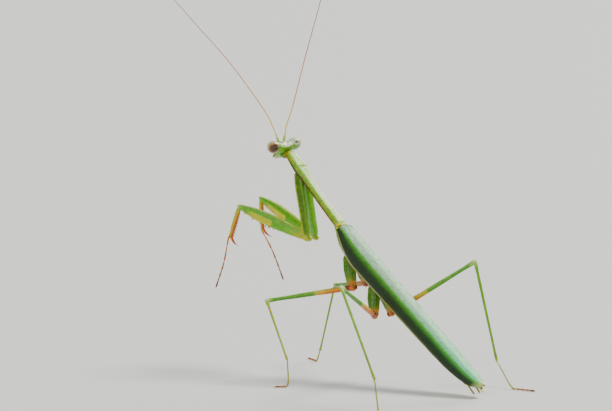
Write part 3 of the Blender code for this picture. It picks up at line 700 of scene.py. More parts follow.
# --- Antennae -----------------------------------------------------------------------------------
# Long threads of about a hundred tiny joints on a stout green first joint and a bead-like second.
# Yellow near the head, they run through orange to a reddish brown and thin to a point.
ANTENNAE = {
    "L": ((0.5, -18.9, 50.7), (0.6, -19.4, 52.0), (0.8, -20.2, 53.7), (1.5, -22.5, 57.8),
          (4.7, -29.8, 68.0), (8.0, -36.5, 76.0), (12.3, -45.2, 86.4)),
    "R": ((-0.8, -18.4, 51.0), (-1.4, -18.6, 52.3), (-2.2, -18.9, 54.2), (-4.5, -19.1, 58.5),
          (-9.3, -20.0, 68.5), (-15.9, -21.0, 82.1), (-20.2, -21.9, 91.2)),
}
FLAGELLUM_RINGS, RING_STEPS = 110, 4


def antenna_thickness(place):
    """Stout first joint, pinched neck, bead, then a thread that thins towards the tip."""
    if place < 0.024:
        size = 0.29
    elif place < 0.029:
        size = 0.16
    elif place < 0.038:
        size = 0.20
    else:
        size = 0.138 - 0.07 * place
        size *= 1 + 0.06 * math.sin(math.tau * FLAGELLUM_RINGS * place)
    return size, size


feeler_orange = cuticle(
    "feeler, yellow to brown",
    ((0.0, 0.30, 0.54, 0.04), (0.026, 0.56, 0.68, 0.18), (0.04, 0.68, 0.56, 0.004), (0.10, 0.68, 0.46, 0.002),
     (0.25, 0.64, 0.26, 0.002), (0.5, 0.50, 0.12, 0.002), (0.8, 0.26, 0.05, 0.003), (1.0, 0.10, 0.02, 0.004)),
    mottle=0.15, glow=0.05)
for name, knots in ANTENNAE.items():
    lengths = [0.0]
    run = smooth_run(knots, 60)
    for a, b in zip(run, run[1:]):
        lengths.append(lengths[-1] + (b - a).length)
    even_run = []
    step = 0
    parts = FLAGELLUM_RINGS * RING_STEPS
    for i in range(parts + 1):
        goal = lengths[-1] * i / parts
        while step < len(lengths) - 2 and lengths[step + 1] < goal:
            step += 1
        t = (goal - lengths[step]) / (lengths[step + 1] - lengths[step])
        even_run.append(run[step].lerp(run[step + 1], t))
    limb_piece("antenna_thread_" + name, feeler_orange, "feeler", "antenna_" + name, even_run, LEFT,
               antenna_thickness, 8, domes=(0.2, 0.1))

# --- Forelegs -----------------------------------------------------------------------------------
# The grasping legs: a long ridged hip with a row of small teeth, a short second joint, a deep thigh
# grooved and spined underneath, and a shin that folds against it and ends in a curved claw.
FORELEGS = {
    "L": {"base": (1.17, -12.02, 42.62), "hip": (2.2, -8.5, 29.9), "knee": (7.9, -24.0, 36.25),
          "wrist": (9.4, -25.2, 29.6), "claw": (8.5, -23.8, 27.5),
          "tarsus": ((10.1, -25.3, 29.0), (11.2, -25.7, 23.6), (12.8, -26.5, 18.4))},
    "R": {"base": (-1.5, -12.6, 43.2), "hip": (-2.7, -10.7, 29.6), "knee": (-1.55, -26.4, 37.3),
          "wrist": (-1.1, -25.4, 30.4), "claw": (-2.3, -23.6, 28.6),
          "tarsus": ((-1.5, -26.0, 29.9), (-2.9, -24.0, 25.2), (-4.0, -21.7, 18.8))},
}


def femur_section(place):
    """Half thickness and half depth of the grasping thigh, deepest past its middle."""
    deepest = 0.58
    if place < deepest:
        swell, end = math.sin(math.pi / 2 * place / deepest), 0.9
    else:
        swell, end = math.cos(math.pi / 2 * (place - deepest) / (1 - deepest)), 0.46
    return 0.42 + 0.25 * swell, end + (1.42 - end) * swell


def coxa_relief(across, up, along):
    """Ridges along the corners of the hip and a flat, faintly furrowed face between them."""
    return 0.09 * bump(abs(across), 0.72, 0.10) - 0.05 * bump(across, 0.0, 0.4) - 0.04 * bump(up, 0.0, 0.4)


def femur_relief(across, up, along):
    """The groove that takes the folded shin, a keel along the back and a line down each side."""
    groove = -0.22 * bump(across, 0.0, 0.32) * max(0.0, -up) * bump(along, 0.62, 0.34)
    keel = 0.07 * bump(across, 0.0, 0.22) * (up > 0)
    side_line = -0.05 * bump(up, 0.30, 0.05) * bump(along, 0.5, 0.4)
    lobe = 0.10 * bump(along, 0.95, 0.04) * bump(abs(across), 0.8, 0.3)
    return groove + keel + side_line + lobe


# The left hip's dark olive is painted shade; the right hip keeps a bright green.
shaded_hip = cuticle(
    "olive hip with painted shade",
    ((0.0, 0.06, 0.17, 0.002), (0.5, 0.07, 0.16, 0.002), (0.9, 0.10, 0.21, 0.002), (1.0, 0.30, 0.38, 0.004)),
    above=((0.0, 0.34, 0.46, 0.003, 0.9), (1.0, 0.42, 0.52, 0.004, 0.95)),
    below=((0.0, 0.12, 0.36, 0.002, 0.8), (1.0, 0.16, 0.42, 0.003, 0.8)), above_from=(0.22, 0.6),
    below_from=(-0.25, -0.7), mottle=0.3, patches=(0.13, 0.23, 0.002))
far_coxa = cuticle(
    "bright hip", ((0.0, 0.12, 0.44, 0.002), (1.0, 0.12, 0.44, 0.002)),
    above=((0.0, 0.42, 0.56, 0.004, 0.8), (1.0, 0.42, 0.56, 0.004, 0.8)), mottle=0.25,
    patches=(0.22, 0.46, 0.003))
second_joint_green = cuticle(
    "foreleg second joint", ((0.0, 0.36, 0.44, 0.003), (0.5, 0.50, 0.52, 0.004), (1.0, 0.38, 0.48, 0.004)),
    below=((0.0, 0.52, 0.52, 0.01, 0.7), (1.0, 0.5, 0.5, 0.01, 0.7)), mottle=0.25)
# The pale ramp laid over the thigh's upper side is painted highlight; the yellow bands underneath are its own
# colour.
thigh_green = cuticle(
    "grasping thigh",
    ((0.0, 0.40, 0.48, 0.003), (0.10, 0.14, 0.42, 0.002), (0.45, 0.08, 0.38, 0.002), (0.9, 0.07, 0.38, 0.002),
     (0.96, 0.16, 0.50, 0.02), (1.0, 0.50, 0.66, 0.16)),
    above=((0.0, 0.62, 0.62, 0.03, 0.9), (0.5, 0.60, 0.68, 0.10, 0.9), (0.9, 0.66, 0.80, 0.30, 0.95),
           (1.0, 0.74, 0.84, 0.45, 0.95)),
    below=((0.0, 0.58, 0.54, 0.003, 0.9), (0.20, 0.26, 0.48, 0.002, 0.4), (0.34, 0.10, 0.42, 0.002, 0.0),
           (0.44, 0.14, 0.44, 0.002, 0.1), (0.47, 0.60, 0.60, 0.003, 0.95), (0.78, 0.58, 0.60, 0.003, 1.0),
           (0.88, 0.20, 0.46, 0.002, 0.5), (1.0, 0.14, 0.44, 0.004, 0.3)),
    above_from=(0.66, 0.95), below_from=(0.24, -0.02), mottle=0.22, patches=(0.22, 0.52, 0.003), glow=0.15)
shin_yellow = cuticle(
    "grasping shin",
    ((0.0, 0.34, 0.52, 0.01), (0.15, 0.54, 0.52, 0.003), (0.55, 0.60, 0.44, 0.003), (0.7, 0.62, 0.22, 0.002),
     (0.8, 0.52, 0.05, 0.002), (1.0, 0.26, 0.01, 0.003)),
    below=((0.0, 0.60, 0.40, 0.003, 0.5), (0.2, 0.58, 0.14, 0.002, 0.95), (0.7, 0.48, 0.05, 0.002, 0.95),
           (1.0, 0.30, 0.01, 0.002, 0.9)),
    below_from=(0.1, -0.45), glow=0.1)
spine_horn = cuticle(
    "thigh spines", ((0.0, 0.56, 0.50, 0.01), (0.5, 0.44, 0.18, 0.01), (1.0, 0.06, 0.01, 0.005)), mottle=0.1)
shin_spine_horn = cuticle(
    "shin spines",
    ((0.0, 0.56, 0.16, 0.003), (0.5, 0.34, 0.03, 0.003), (1.0, 0.06, 0.008, 0.004)), mottle=0.1)
hip_tooth_pale = cuticle("pale hip teeth", ((0.0, 0.46, 0.56, 0.03), (1.0, 0.74, 0.74, 0.24)), mottle=0.1)
foreleg_foot_orange = cuticle(
    "foreleg foot", ((0.0, 0.62, 0.26, 0.003), (0.45, 0.62, 0.22, 0.003), (0.6, 0.44, 0.12, 0.006),
                     (0.8, 0.26, 0.08, 0.012), (1.0, 0.13, 0.045, 0.015)), mottle=0.25)


def straight(start, end, steps):
    """A straight path, in equal steps."""
    return [start.lerp(end, i / steps) for i in range(steps + 1)]


def leg_directions(hip, knee, ankle):
    """Along the thigh, along the shin, along the knee's axis, and from the thigh to the side of the shin."""
    thigh, shin = (knee - hip).normalized(), (ankle - knee).normalized()
    return thigh, shin, thigh.cross(shin).normalized(), (shin - thigh * shin.dot(thigh)).normalized()


def foot_claws(bm, tip, aim, up, length):
    """The pair of curved claws at the end of a foot, spread apart and turned down."""
    spread = aim.cross(up).normalized()
    for edge in (1, -1):
        root = tip + spread * edge * 0.05
        point = tip + aim * length * 0.75 + spread * edge * length * 0.6 - up * length * 0.25
        thorn(bm, root, point, 0.075, bend=up * length * 0.12)


FOOT_JOINTS = (0.0, 0.45, 0.63, 0.76, 0.86, 1.0)
HIP_TEETH, HIP_TOOTH_EDGE = 17, 0.34                         # teeth in a row, and how far it stands aside
# The thigh's rows of spines: their lengths, the place of the first, the step to the next, how deep and
# how far outward they stand, how far they lean outward and along, their radius and their bow.
THIGH_SPINES = (
    ((0.5,) * 4, 0.48, 0.13, 0.88, 0.46, 0.13, 0.07, 0.14, 0.04),
    ((0.26, 0.4) * 7 + (0.26,), 0.40, 0.53 / 14, 0.86, -0.42, -0.08, 0.05, 0.12, 0.03),
    ((0.34, 0.46, 0.6, 0.42), 0.34, 0.065, 0.9, 0.0, 0.0, 0.1, 0.13, 0.05),
)
for name, leg in FORELEGS.items():
    side = 1 if name == "L" else -1
    base, hip, knee, wrist, claw = (Vector(leg[key]) for key in ("base", "hip", "knee", "wrist", "claw"))
    thigh, shin, hinge_axis, inward = leg_directions(hip, knee, wrist)
    grip = hinge_axis.cross(shin).normalized()
    grip = grip if grip.dot(thigh) < 0 else -grip

    hip_line = (hip - base).normalized()
    front_edge = Vector((side * 0.25, -1, 0.0)).normalized()
    limb_piece("fore_hip_" + name, shaded_hip if name == "L" else far_coxa, "body", "fore_coxa_" + name,
               straight(base - hip_line * 0.7, hip + hip_line * 0.15, 30), front_edge,
               profile(((0, 0.72, 0.95), (0.16, 0.86, 1.06), (0.5, 0.76, 1.0), (0.88, 0.66, 0.9),
                        (1, 0.52, 0.72))), 40, 2.7, coxa_relief, domes=(1.1, 0.45))
    hip_teeth = new_skin()
    front = (front_edge - hip_line * front_edge.dot(hip_line)).normalized()
    for i in range(HIP_TEETH):
        t = 0.14 + 0.75 * i / (HIP_TEETH - 1)
        depth = 1.02 - 0.14 * t
        for edge in (HIP_TOOTH_EDGE, -HIP_TOOTH_EDGE):
            root = base.lerp(hip, t) + front * depth * 0.93 + front.cross(hip_line) * edge
            thorn(hip_teeth, root, root + front * (0.20 + 0.08 * (i % 2)) + hip_line * 0.10, 0.075, sides=6)
    settle("fore_hip_teeth_" + name, hip_teeth, hip_tooth_pale, "body")

    limb_piece("fore_second_joint_" + name, second_joint_green, "body", "fore_trochanter_" + name,
               straight(hip - thigh * 0.75, hip + thigh * 1.9, 14), -inward,
               profile(((0, 0.42, 0.56), (0.3, 0.58, 0.84), (0.7, 0.52, 0.80), (1, 0.44, 0.74))), 28,
               relief=lambda across, up, along: -0.06 * bump(along, 0.55, 0.05), domes=(0.3, 0.2))

    femur_start, femur_end = hip + thigh * 1.35, knee + thigh * 0.02
    limb_piece("fore_thigh_" + name, thigh_green, "body", "fore_femur_" + name,
               straight(femur_start, femur_end, 48), -inward, femur_section, 44, 2.1, femur_relief,
               domes=(0.45, 0.4))

    thigh_spines = new_skin()
    outer = hinge_axis * side
    for lengths, first, step, deep, aside, outward, onward, radius, bow in THIGH_SPINES:
        for i, length in enumerate(lengths):
            place = first + step * i
            depth = femur_section(place)[1] * deep
            root = femur_start.lerp(femur_end, place) + inward * depth + outer * aside
            tip = root + inward * length + outer * outward + thigh * onward
            thorn(thigh_spines, root, tip, radius, bend=thigh * bow)
    settle("fore_thigh_spines_" + name, thigh_spines, spine_horn, "body")

    shin_path = straight(knee + shin * 0.25 - thigh * 0.1, wrist, 24)
    hook = smooth_run((wrist, wrist.lerp(claw, 0.5) + shin * 0.38, claw + (claw - wrist) * 0.04), 10)[1:]
    limb_piece("fore_shin_" + name, shin_yellow, "body", "fore_tibia_" + name, shin_path + hook, -grip,
               profile(((0, 0.30, 0.44), (0.08, 0.42, 0.56), (0.3, 0.42, 0.60), (0.55, 0.36, 0.48),
                        (0.66, 0.22, 0.30), (1.0, 0.04, 0.05))), 28, 2.1, domes=(0.35, 0.05))

    shin_spines = new_skin()
    for edge, count in ((1, 12), (-1, 10)):
        for i in range(count):
            t = i / (count - 1)
            root = knee.lerp(wrist, 0.22 + 0.72 * t) + grip * 0.42 + hinge_axis * (0.30 * edge)
            length = 0.26 + 0.34 * t
            tip = root + grip * length * 0.8 + shin * length * 0.62 + hinge_axis * (0.10 * edge)
            thorn(shin_spines, root, tip, 0.085, bend=grip * 0.04, sides=6)
    settle("fore_shin_spines_" + name, shin_spines, shin_spine_horn, "body")

    foot = new_skin()
    foot_knots = (wrist - shin * 0.25 + (Vector(leg["tarsus"][0]) - wrist) * 0.5, *leg["tarsus"])
    foot_path = smooth_run(foot_knots, 40)
    limb(foot, foot_path, -grip, jointed(FOOT_JOINTS, 0.135, 0.205), 16, domes=(0.15, 0.12))
    aim = (foot_path[-1] - foot_path[-2]).normalized()
    foot_claws(foot, foot_path[-1], aim, -grip - aim * aim.dot(-grip), 0.55)
    settle("fore_foot_" + name, foot, foreleg_foot_orange, "foot", "fore_tarsus_" + name)

# --- Walking legs -------------------------------------------------------------------------------
# Four thin legs for standing: a fluted hip, a glossy orange second joint, a long thigh that is orange
# at its root, a thin finely spined shin and a five-jointed foot with two claws that lies on the ground.
WALKING_LEGS = {
    "mid_L": {"hip": (2.4, 4.9, 20.15), "knee": (15.5, -8.3, 17.4), "ankle": (17.8, -0.1, 5.7),
              "heel": (18.6, 0.9, 0.9), "toe": (20.6, -0.8, 0.2)},
    "mid_R": {"hip": (-2.7, 4.4, 20.5), "knee": (-10.5, -11.7, 17.7), "ankle": (-8.4, -14.2, 2.9),
              "heel": (-8.1, -15.0, 0.35), "toe": (-9.3, -18.6, 0.2)},
    "hind_L": {"hip": (2.8, 11.55, 14.8), "knee": (21.2, 18.3, 23.5), "ankle": (24.3, 30.0, 6.4),
               "heel": (25.3, 31.9, 0.45), "toe": (28.9, 35.6, 0.2)},
    "hind_R": {"hip": (-2.5, 11.9, 14.8), "knee": (-13.0, 26.5, 26.3), "ankle": (-13.3, 32.3, 5.4),
               "heel": (-12.0, 37.4, 0.45), "toe": (-12.9, 42.6, 0.2)},
}
COXA_ROOT = {"mid": (6.9, 4.2), "hind": (16.2, 4.3)}       # back along the thorax, and depth under the wings

# The hips' dark green is partly their own colour and partly painted shade beneath the body.
fluted_green = cuticle(
    "fluted walking hip",
    ((0.0, 0.08, 0.24, 0.002), (0.3, 0.04, 0.15, 0.001), (0.6, 0.06, 0.18, 0.001), (0.76, 0.18, 0.25, 0.003),
     (0.86, 0.62, 0.22, 0.002), (1.0, 0.36, 0.04, 0.002)),
    mottle=0.4, patches=(0.12, 0.24, 0.002))
joint_orange = cuticle(
    "orange second joint", ((0.0, 0.26, 0.02, 0.001), (0.25, 0.68, 0.20, 0.001), (0.55, 0.56, 0.10, 0.001),
                            (0.8, 0.16, 0.012, 0.001), (1.0, 0.68, 0.24, 0.001)), roughness=0.22, mottle=0.5,
    patches=(0.12, 0.01, 0.002))
# The pale ramp over the upper side is painted highlight, and the dark green under the green part is painted
# shade; the orange root is the thigh's own colour.
walking_thigh = cuticle(
    "walking thigh",
    ((0.0, 0.66, 0.20, 0.001), (0.12, 0.70, 0.32, 0.001), (0.24, 0.68, 0.44, 0.002),
     (0.38, 0.58, 0.54, 0.003), (0.41, 0.12, 0.40, 0.002), (0.9, 0.10, 0.36, 0.003), (0.95, 0.30, 0.60, 0.08),
     (1.0, 0.60, 0.76, 0.32)),
    above=((0.0, 0.78, 0.62, 0.28, 0.8), (0.36, 0.76, 0.74, 0.34, 0.85), (0.44, 0.46, 0.72, 0.16, 0.8),
           (1.0, 0.62, 0.82, 0.36, 0.9)),
    below=((0.0, 0.60, 0.10, 0.001, 0.9), (0.30, 0.66, 0.18, 0.001, 0.85), (0.38, 0.60, 0.40, 0.002, 0.7),
           (0.41, 0.04, 0.20, 0.002, 0.7), (0.9, 0.05, 0.22, 0.002, 0.7), (1.0, 0.34, 0.52, 0.04, 0.5)),
    above_from=(0.35, 0.9), below_from=(-0.1, -0.6), mottle=0.3)
walking_shin = cuticle(
    "walking shin",
    ((0.0, 0.28, 0.50, 0.02), (0.07, 0.34, 0.46, 0.004), (0.11, 0.20, 0.32, 0.003), (0.13, 0.60, 0.30, 0.002),
     (0.17, 0.60, 0.34, 0.003), (0.20, 0.30, 0.40, 0.003), (0.6, 0.34, 0.46, 0.003),
     (0.96, 0.30, 0.40, 0.006), (1.0, 0.44, 0.40, 0.02)),
    above=((0.0, 0.46, 0.62, 0.06, 0.25), (1.0, 0.40, 0.54, 0.02, 0.25)), above_from=(0.3, 0.95), mottle=0.25)
# A darker, greener copy of the shin for the legs that lie in shade: partly painted shade.
shaded_shin = cuticle(
    "green shin with painted shade", ((0.0, 0.36, 0.60, 0.08), (0.06, 0.14, 0.42, 0.002), (0.5, 0.16, 0.40, 0.002),
                   (0.92, 0.18, 0.34, 0.003), (1.0, 0.34, 0.36, 0.01)),
    above=((0.0, 0.40, 0.64, 0.06, 0.25), (1.0, 0.34, 0.52, 0.02, 0.25)), above_from=(0.3, 0.95), mottle=0.3)
walking_foot = cuticle(
    "walking foot", ((0.0, 0.28, 0.36, 0.005), (0.4, 0.40, 0.34, 0.006), (0.55, 0.52, 0.20, 0.003),
                     (0.8, 0.52, 0.14, 0.002), (1.0, 0.16, 0.04, 0.01)), mottle=0.3)
shin_bristle = cuticle("fine shin bristles", ((0.0, 0.32, 0.38, 0.006), (1.0, 0.18, 0.08, 0.01)), mottle=0.1)


def coxa_flutes(across, up, along):
    """Flutes that run down the hip, and a crease near its end."""
    turn = math.atan2(up, across)
    return 0.06 * math.sin(9 * turn) * min(1.0, 4 * along) - 0.05 * bump(along, 0.82, 0.03)


def thigh_relief(across, up, along):
    """A ridge down each side and a lobe beside the knee."""
    return 0.035 * bump(abs(across), 0.7, 0.12) + 0.05 * bump(along, 0.95, 0.03) * abs(across)


SHIN_BUILD = {"mid_L": 0.84, "mid_R": 0.8, "hind_L": 1.1, "hind_R": 1.0}     # how stout each shin is
BRISTLE_GAP = 0.55
SOLE_CLEARANCE = 0.205                                       # half the thickness of a foot on the floor
UPRIGHT = Vector((0, 0, 1))
for name, leg in WALKING_LEGS.items():
    side = 1 if name.endswith("L") else -1
    hip, knee, ankle, heel, toe = (Vector(leg[key]) for key in ("hip", "knee", "ankle", "heel", "toe"))
    thigh, shin, hinge_axis, inward = leg_directions(hip, knee, ankle)
    back, depth = COXA_ROOT[name.split("_")[0]]
    root = on_body(back, depth, side * 1.25)

    coxa_path = smooth_run((root, root.lerp(hip, 0.5) + BACKWARD * -0.15, hip), 12)
    limb_piece("hip_" + name, fluted_green, "body", name + "_coxa", coxa_path, -BACKWARD,
               profile(((0, 0.8, 1.35), (0.35, 0.95, 1.4), (0.7, 0.86, 1.2), (1, 0.7, 0.86))), 54, 2.2,
               coxa_flutes, domes=(1.4, 0.3))

    limb_piece("second_joint_" + name, joint_orange, "trochanter", name + "_trochanter",
               straight(hip - thigh * 0.8, hip + thigh * 1.7, 16), -inward,
               profile(((0, 0.5, 0.56), (0.28, 0.74, 0.78), (0.55, 0.62, 0.7), (1, 0.46, 0.54))), 28,
               relief=lambda across, up, along: 0.05 * bump(along, 0.3, 0.12) - 0.07 * bump(along, 0.6, 0.04),
               domes=(0.3, 0.2))

    limb_piece("thigh_" + name, walking_thigh, "body", name + "_femur",
               straight(hip + thigh * 1.3, knee + thigh * 0.05, 40), -inward,
               profile(((0, 0.42, 0.50), (0.1, 0.50, 0.62), (0.5, 0.42, 0.52), (0.86, 0.34, 0.42),
                        (0.95, 0.40, 0.50), (1, 0.36, 0.44))), 28, 2.1, thigh_relief, domes=(0.3, 0.4))

    tibia_start, tibia_end = knee + shin * 0.2, ankle
    build = SHIN_BUILD[name]
    shin_knots = [(0, 0.28, 0.36), (0.04, 0.34, 0.42)]
    shin_knots += [(place, width * build, depth * build) for place, width, depth in (
        (0.09, 0.26, 0.31), (0.2, 0.27, 0.32), (0.85, 0.22, 0.25), (0.97, 0.28, 0.31), (1, 0.24, 0.26))]
    limb_piece("shin_" + name, walking_shin if name == "mid_L" else shaded_shin, "body", name + "_tibia",
               straight(tibia_start, tibia_end, 60), (thigh - shin * thigh.dot(shin)).normalized(),
               profile(shin_knots), 24, 2.1, domes=(0.3, 0.2))

    bristles = new_skin()
    rings = int((tibia_end - tibia_start).length / BRISTLE_GAP)
    for i in range(rings):
        t = 0.08 + 0.88 * i / rings
        reach = (0.27 if t < 0.3 else 0.23) * build
        for angle in (0.5, -0.5, math.pi - 0.5, math.pi + 0.5):
            out = hinge_axis * math.sin(angle) + shin.cross(hinge_axis) * math.cos(angle)
            foot_of_bristle = tibia_start.lerp(tibia_end, t + 0.01 * math.sin(7.0 * i + angle)) + out * reach
            thorn(bristles, foot_of_bristle, foot_of_bristle + out * 0.10 + shin * 0.14, 0.028, sides=5)
    for edge in (1, -1):
        spur_root = tibia_end - shin * 0.15 + hinge_axis * (0.2 * edge)
        thorn(bristles, spur_root, spur_root + shin * 0.55 + hinge_axis * (0.22 * edge), 0.08)
    settle("shin_bristles_" + name, bristles, shin_bristle, "body")

    foot = new_skin()
    sole = heel.lerp(toe, 0.4)
    sole.z = toe.z
    drop = (heel - ankle).normalized()
    foot_path = smooth_run((ankle - drop * 0.1, heel, sole, toe), 30)
    for point in foot_path:
        point.z = max(point.z, SOLE_CLEARANCE)
    foot_up = UPRIGHT if abs(drop.z) < 0.7 else hinge_axis.cross((toe - ankle).normalized())
    limb(foot, foot_path, foot_up, jointed(FOOT_JOINTS, 0.14, 0.20), 16, domes=(0.15, 0.12))
    foot_claws(foot, foot_path[-1], (toe - heel).normalized(), UPRIGHT, 0.6)
    for vert in foot.verts:
        vert.co.z = max(vert.co.z, 0.0)
    settle("foot_" + name, foot, walking_foot, "foot", name + "_tarsus")

# --- Abdomen ------------------------------------------------------------------------------------
# A row of overlapping rings under the wings, each with a hard back and belly plate and a soft fold
# between them. Jointed cerci stand at its end, on each side of the last small plates.
ABDOMEN_START, ABDOMEN_END, ABDOMEN_RINGS = 16.0, 46.6, 8


def abdomen_relief(across, up, along):
    """Each ring's hind edge stands over the next ring; a soft fold runs along each side."""
    ring_place = along * ABDOMEN_RINGS % 1.0
    lap = 0.11 * ring_place ** 3 - 0.05 * bump(ring_place, 0.0, 0.08)
    side_fold = -0.12 * bump(up, -0.15, 0.10)
    return lap + side_fold + 0.04 * bump(up, -0.32, 0.07)


abdomen_stations = []
abdomen_steps = ABDOMEN_RINGS * 12
for i in range(abdomen_steps + 1):
    along = i / abdomen_steps
    fall = min(1.0, along * ABDOMEN_RINGS / (ABDOMEN_RINGS - 1))
    half_width = 1.55 - 0.5 * fall ** 1.5
    top, bottom = 1.6 + 0.15 * fall, 4.25 - 1.25 * fall ** 1.3
    back = ABDOMEN_START + (ABDOMEN_END - ABDOMEN_START) * along
    abdomen_stations.append(body_ring(back, (top + bottom) / 2, half_width, (bottom - top) / 2, along))
abdomen_stations.append(body_ring(ABDOMEN_END + 0.6, 2.32, 0.75, 0.45, 1.0))
abdomen_stations.append(body_ring(ABDOMEN_END + 0.95, 2.3, 0.4, 0.25, 1.0))
abdomen = new_skin()
tube(abdomen, abdomen_stations, 40, 2.1, abdomen_relief)
ring_green = cuticle(
    "abdomen rings", ((0.0, 0.157, 0.338, 0.007), (0.6, 0.193, 0.378, 0.007), (1.0, 0.376, 0.419, 0.021)),
    below=((0.0, 0.372, 0.481, 0.052, 0.7), (1.0, 0.46, 0.46, 0.053, 0.7)),
    below_from=(-0.4, -0.8), mottle=0.3)
settle("abdomen_rings", abdomen, ring_green, "body", "abdomen")

cercus_brown = cuticle("jointed cercus", ((0.0, 0.357, 0.378, 0.014), (1.0, 0.378, 0.193, 0.014)), mottle=0.3)
for name, side in (("L", 1), ("R", -1)):
    cercus_path = smooth_run((on_body(46.6, 2.15, side * 0.75), on_body(47.6, 2.2, side * 0.98),
                              on_body(48.6, 2.35, side * 1.0), on_body(49.5, 2.46, side * 0.95)), 24)
    limb_piece("cercus_feeler_" + name, cercus_brown, "foot", "cercus_" + name, cercus_path, BACKWARD_DORSAL,
               jointed([i / 9 for i in range(10)], 0.16, 0.24), 14, domes=(0.1, 0.2))

# --- Hindwings ----------------------------------------------------------------------------------
# Thin see-through fans that carry the animal in flight, pleated flat under the forewings at rest. Only
# their stacked ends show behind the forewings.
FAN_START, FAN_END, FAN_DEPTH, FAN_PLEATS = 27.6, 50.8, 0.92, 9
# Place back along the body, half width and half depth.
fan_knots = ((FAN_START, 0.6, 0.10), (28.5, 1.0, 0.22), (34.0, 1.15, 0.24), (42.0, 1.05, 0.24),
             (46.0, 0.85, 0.22), (48.5, 0.62, 0.18), (50.2, 0.42, 0.12), (FAN_END, 0.16, 0.05))
hindwing_stations = []
for back, half_width, thickness in smooth_run(fan_knots, 14):
    along = (back - FAN_START) / (FAN_END - FAN_START)
    hindwing_stations.append(body_ring(back, FAN_DEPTH, half_width, thickness, along))
hindwings = new_skin()
tube(hindwings, hindwing_stations, 60, 3.2,
     lambda across, up, along: 0.035 * math.cos(math.pi * FAN_PLEATS * across) * abs(up))
fan_membrane = cuticle(
    "folded hindwing fan",
    ((0.0, 0.564, 0.564, 0.237), (0.85, 0.585, 0.585, 0.17), (1.0, 0.671, 0.625, 0.196)),
    roughness=0.3, mottle=0.25, glow=0.3)
settle("hindwing_fan", hindwings, fan_membrane, "hindwing", "hindwings")

# --- Forewings ----------------------------------------------------------------------------------
# Leathery wing covers folded like a roof, the left lapping over the right. Each runs flat over the back,
# turns a soft ridge and falls down the side to a tan leading edge, and is stiffened by raised veins.
WING_BASE, WING_LENGTH = 0.8, 49.8
WING_CORNER = 2.7
WING_SHEET = 0.16                                          # thickness of the sheet
WING_LONG_STEPS, WING_CROSS_STEPS = 150, 46


def wing_half_width(back):
    """Half width of the folded wings at a distance back from the hinge."""
    shoulder = min(1.0, (back - WING_BASE + 0.4) / 9.0)
    tip = max(0.0, (back - 38.0) / (WING_LENGTH + 0.3 - 38.0))
    return (2.1 + 0.5 * math.sin(shoulder * math.pi / 2)) * math.sqrt(1 - tip ** 2.6)


def wing_height(back):
    """How far the folded wing's side reaches down from its top."""
    rise = min(1.0, (back - WING_BASE + 0.2) / 9.5)
    fall = max(0.0, (back - 10.0) / (WING_LENGTH + 0.1 - 10.0))
    return (1.4 + 2.95 * math.sin(rise * math.pi / 2)) * (1 - 0.42 * fall) * math.sqrt(1 - fall ** 9)


def wing_point(side, back, cross, lift=0.0):
    """A point of a wing cover: cross is 0 at the seam and 1 at the leading edge."""
    width, height = wing_half_width(back), wing_height(back)
    seam = -0.14 if side > 0 else 0.10
    inner = math.copysign(math.asin(abs(seam) ** (WING_CORNER / 2)), seam)
    turn = inner + (math.pi / 2 - inner) * cross
    across = math.copysign(abs(math.sin(turn)) ** (2 / WING_CORNER), turn)
    down = 1 - abs(math.cos(turn)) ** (2 / WING_CORNER)
    rise = 0.4 * (1 - back / WING_LENGTH) + 0.4 * (1 - across ** 2)
    if side < 0:
        rise -= 0.22 * (1 - min(1.0, cross / 0.3))
    tuck = 0.5 * bump(back, WING_BASE, 0.9) * (1 - cross)
    ripple = 0.035 * noise.noise(Vector((back * 0.45, cross * 5.0, side * 3.0)))
    shoulder_folds = 0.16 * bump(back, 1.4, 1.2) * math.sin(cross * 22.0)
    return on_body(back, height * down - rise + tuck - ripple - shoulder_folds - lift,
                   side * (width * across + lift * across))


# Colours from the seam to the leading edge, of the leading edge from front to rear, and of the flecks.
# The pale mint near the seam is partly painted sheen, and the near black toward the leading edge partly
# painted shade.
WING_FIELD = (
    (0.0, 0.14, 0.44, 0.16), (0.10, 0.30, 0.54, 0.30), (0.28, 0.40, 0.60, 0.42), (0.42, 0.42, 0.62, 0.42),
    (0.48, 0.20, 0.50, 0.12), (0.53, 0.06, 0.40, 0.006), (0.62, 0.05, 0.20, 0.003),
    (0.72, 0.014, 0.05, 0.002), (0.85, 0.004, 0.018, 0.002), (1.0, 0.005, 0.022, 0.002))
WING_DRIFT_SCALE, WING_NET_SCALE, WING_FLECK_SCALE = 700, 3400, 3600       # cells per metre
WING_NET_DEPTH, WING_CRINKLE_DEPTH = 0.00002, 0.00008
# The leading edge's darkening toward the rear is painted shade.
WING_EDGE = (
    (0.0, 0.20, 0.26, 0.02), (0.05, 0.36, 0.31, 0.10), (0.25, 0.34, 0.27, 0.09), (0.5, 0.25, 0.23, 0.03),
    (0.75, 0.11, 0.12, 0.008), (0.9, 0.015, 0.03, 0.003))
WING_FLECKS = (
    (0.0, 0.42, 0.72, 0.40), (0.25, 0.80, 1.0, 0.84), (0.6, 1.0, 1.0, 1.04), (0.85, 1.24, 1.14, 1.34),
    (1.0, 0.72, 0.80, 0.86))


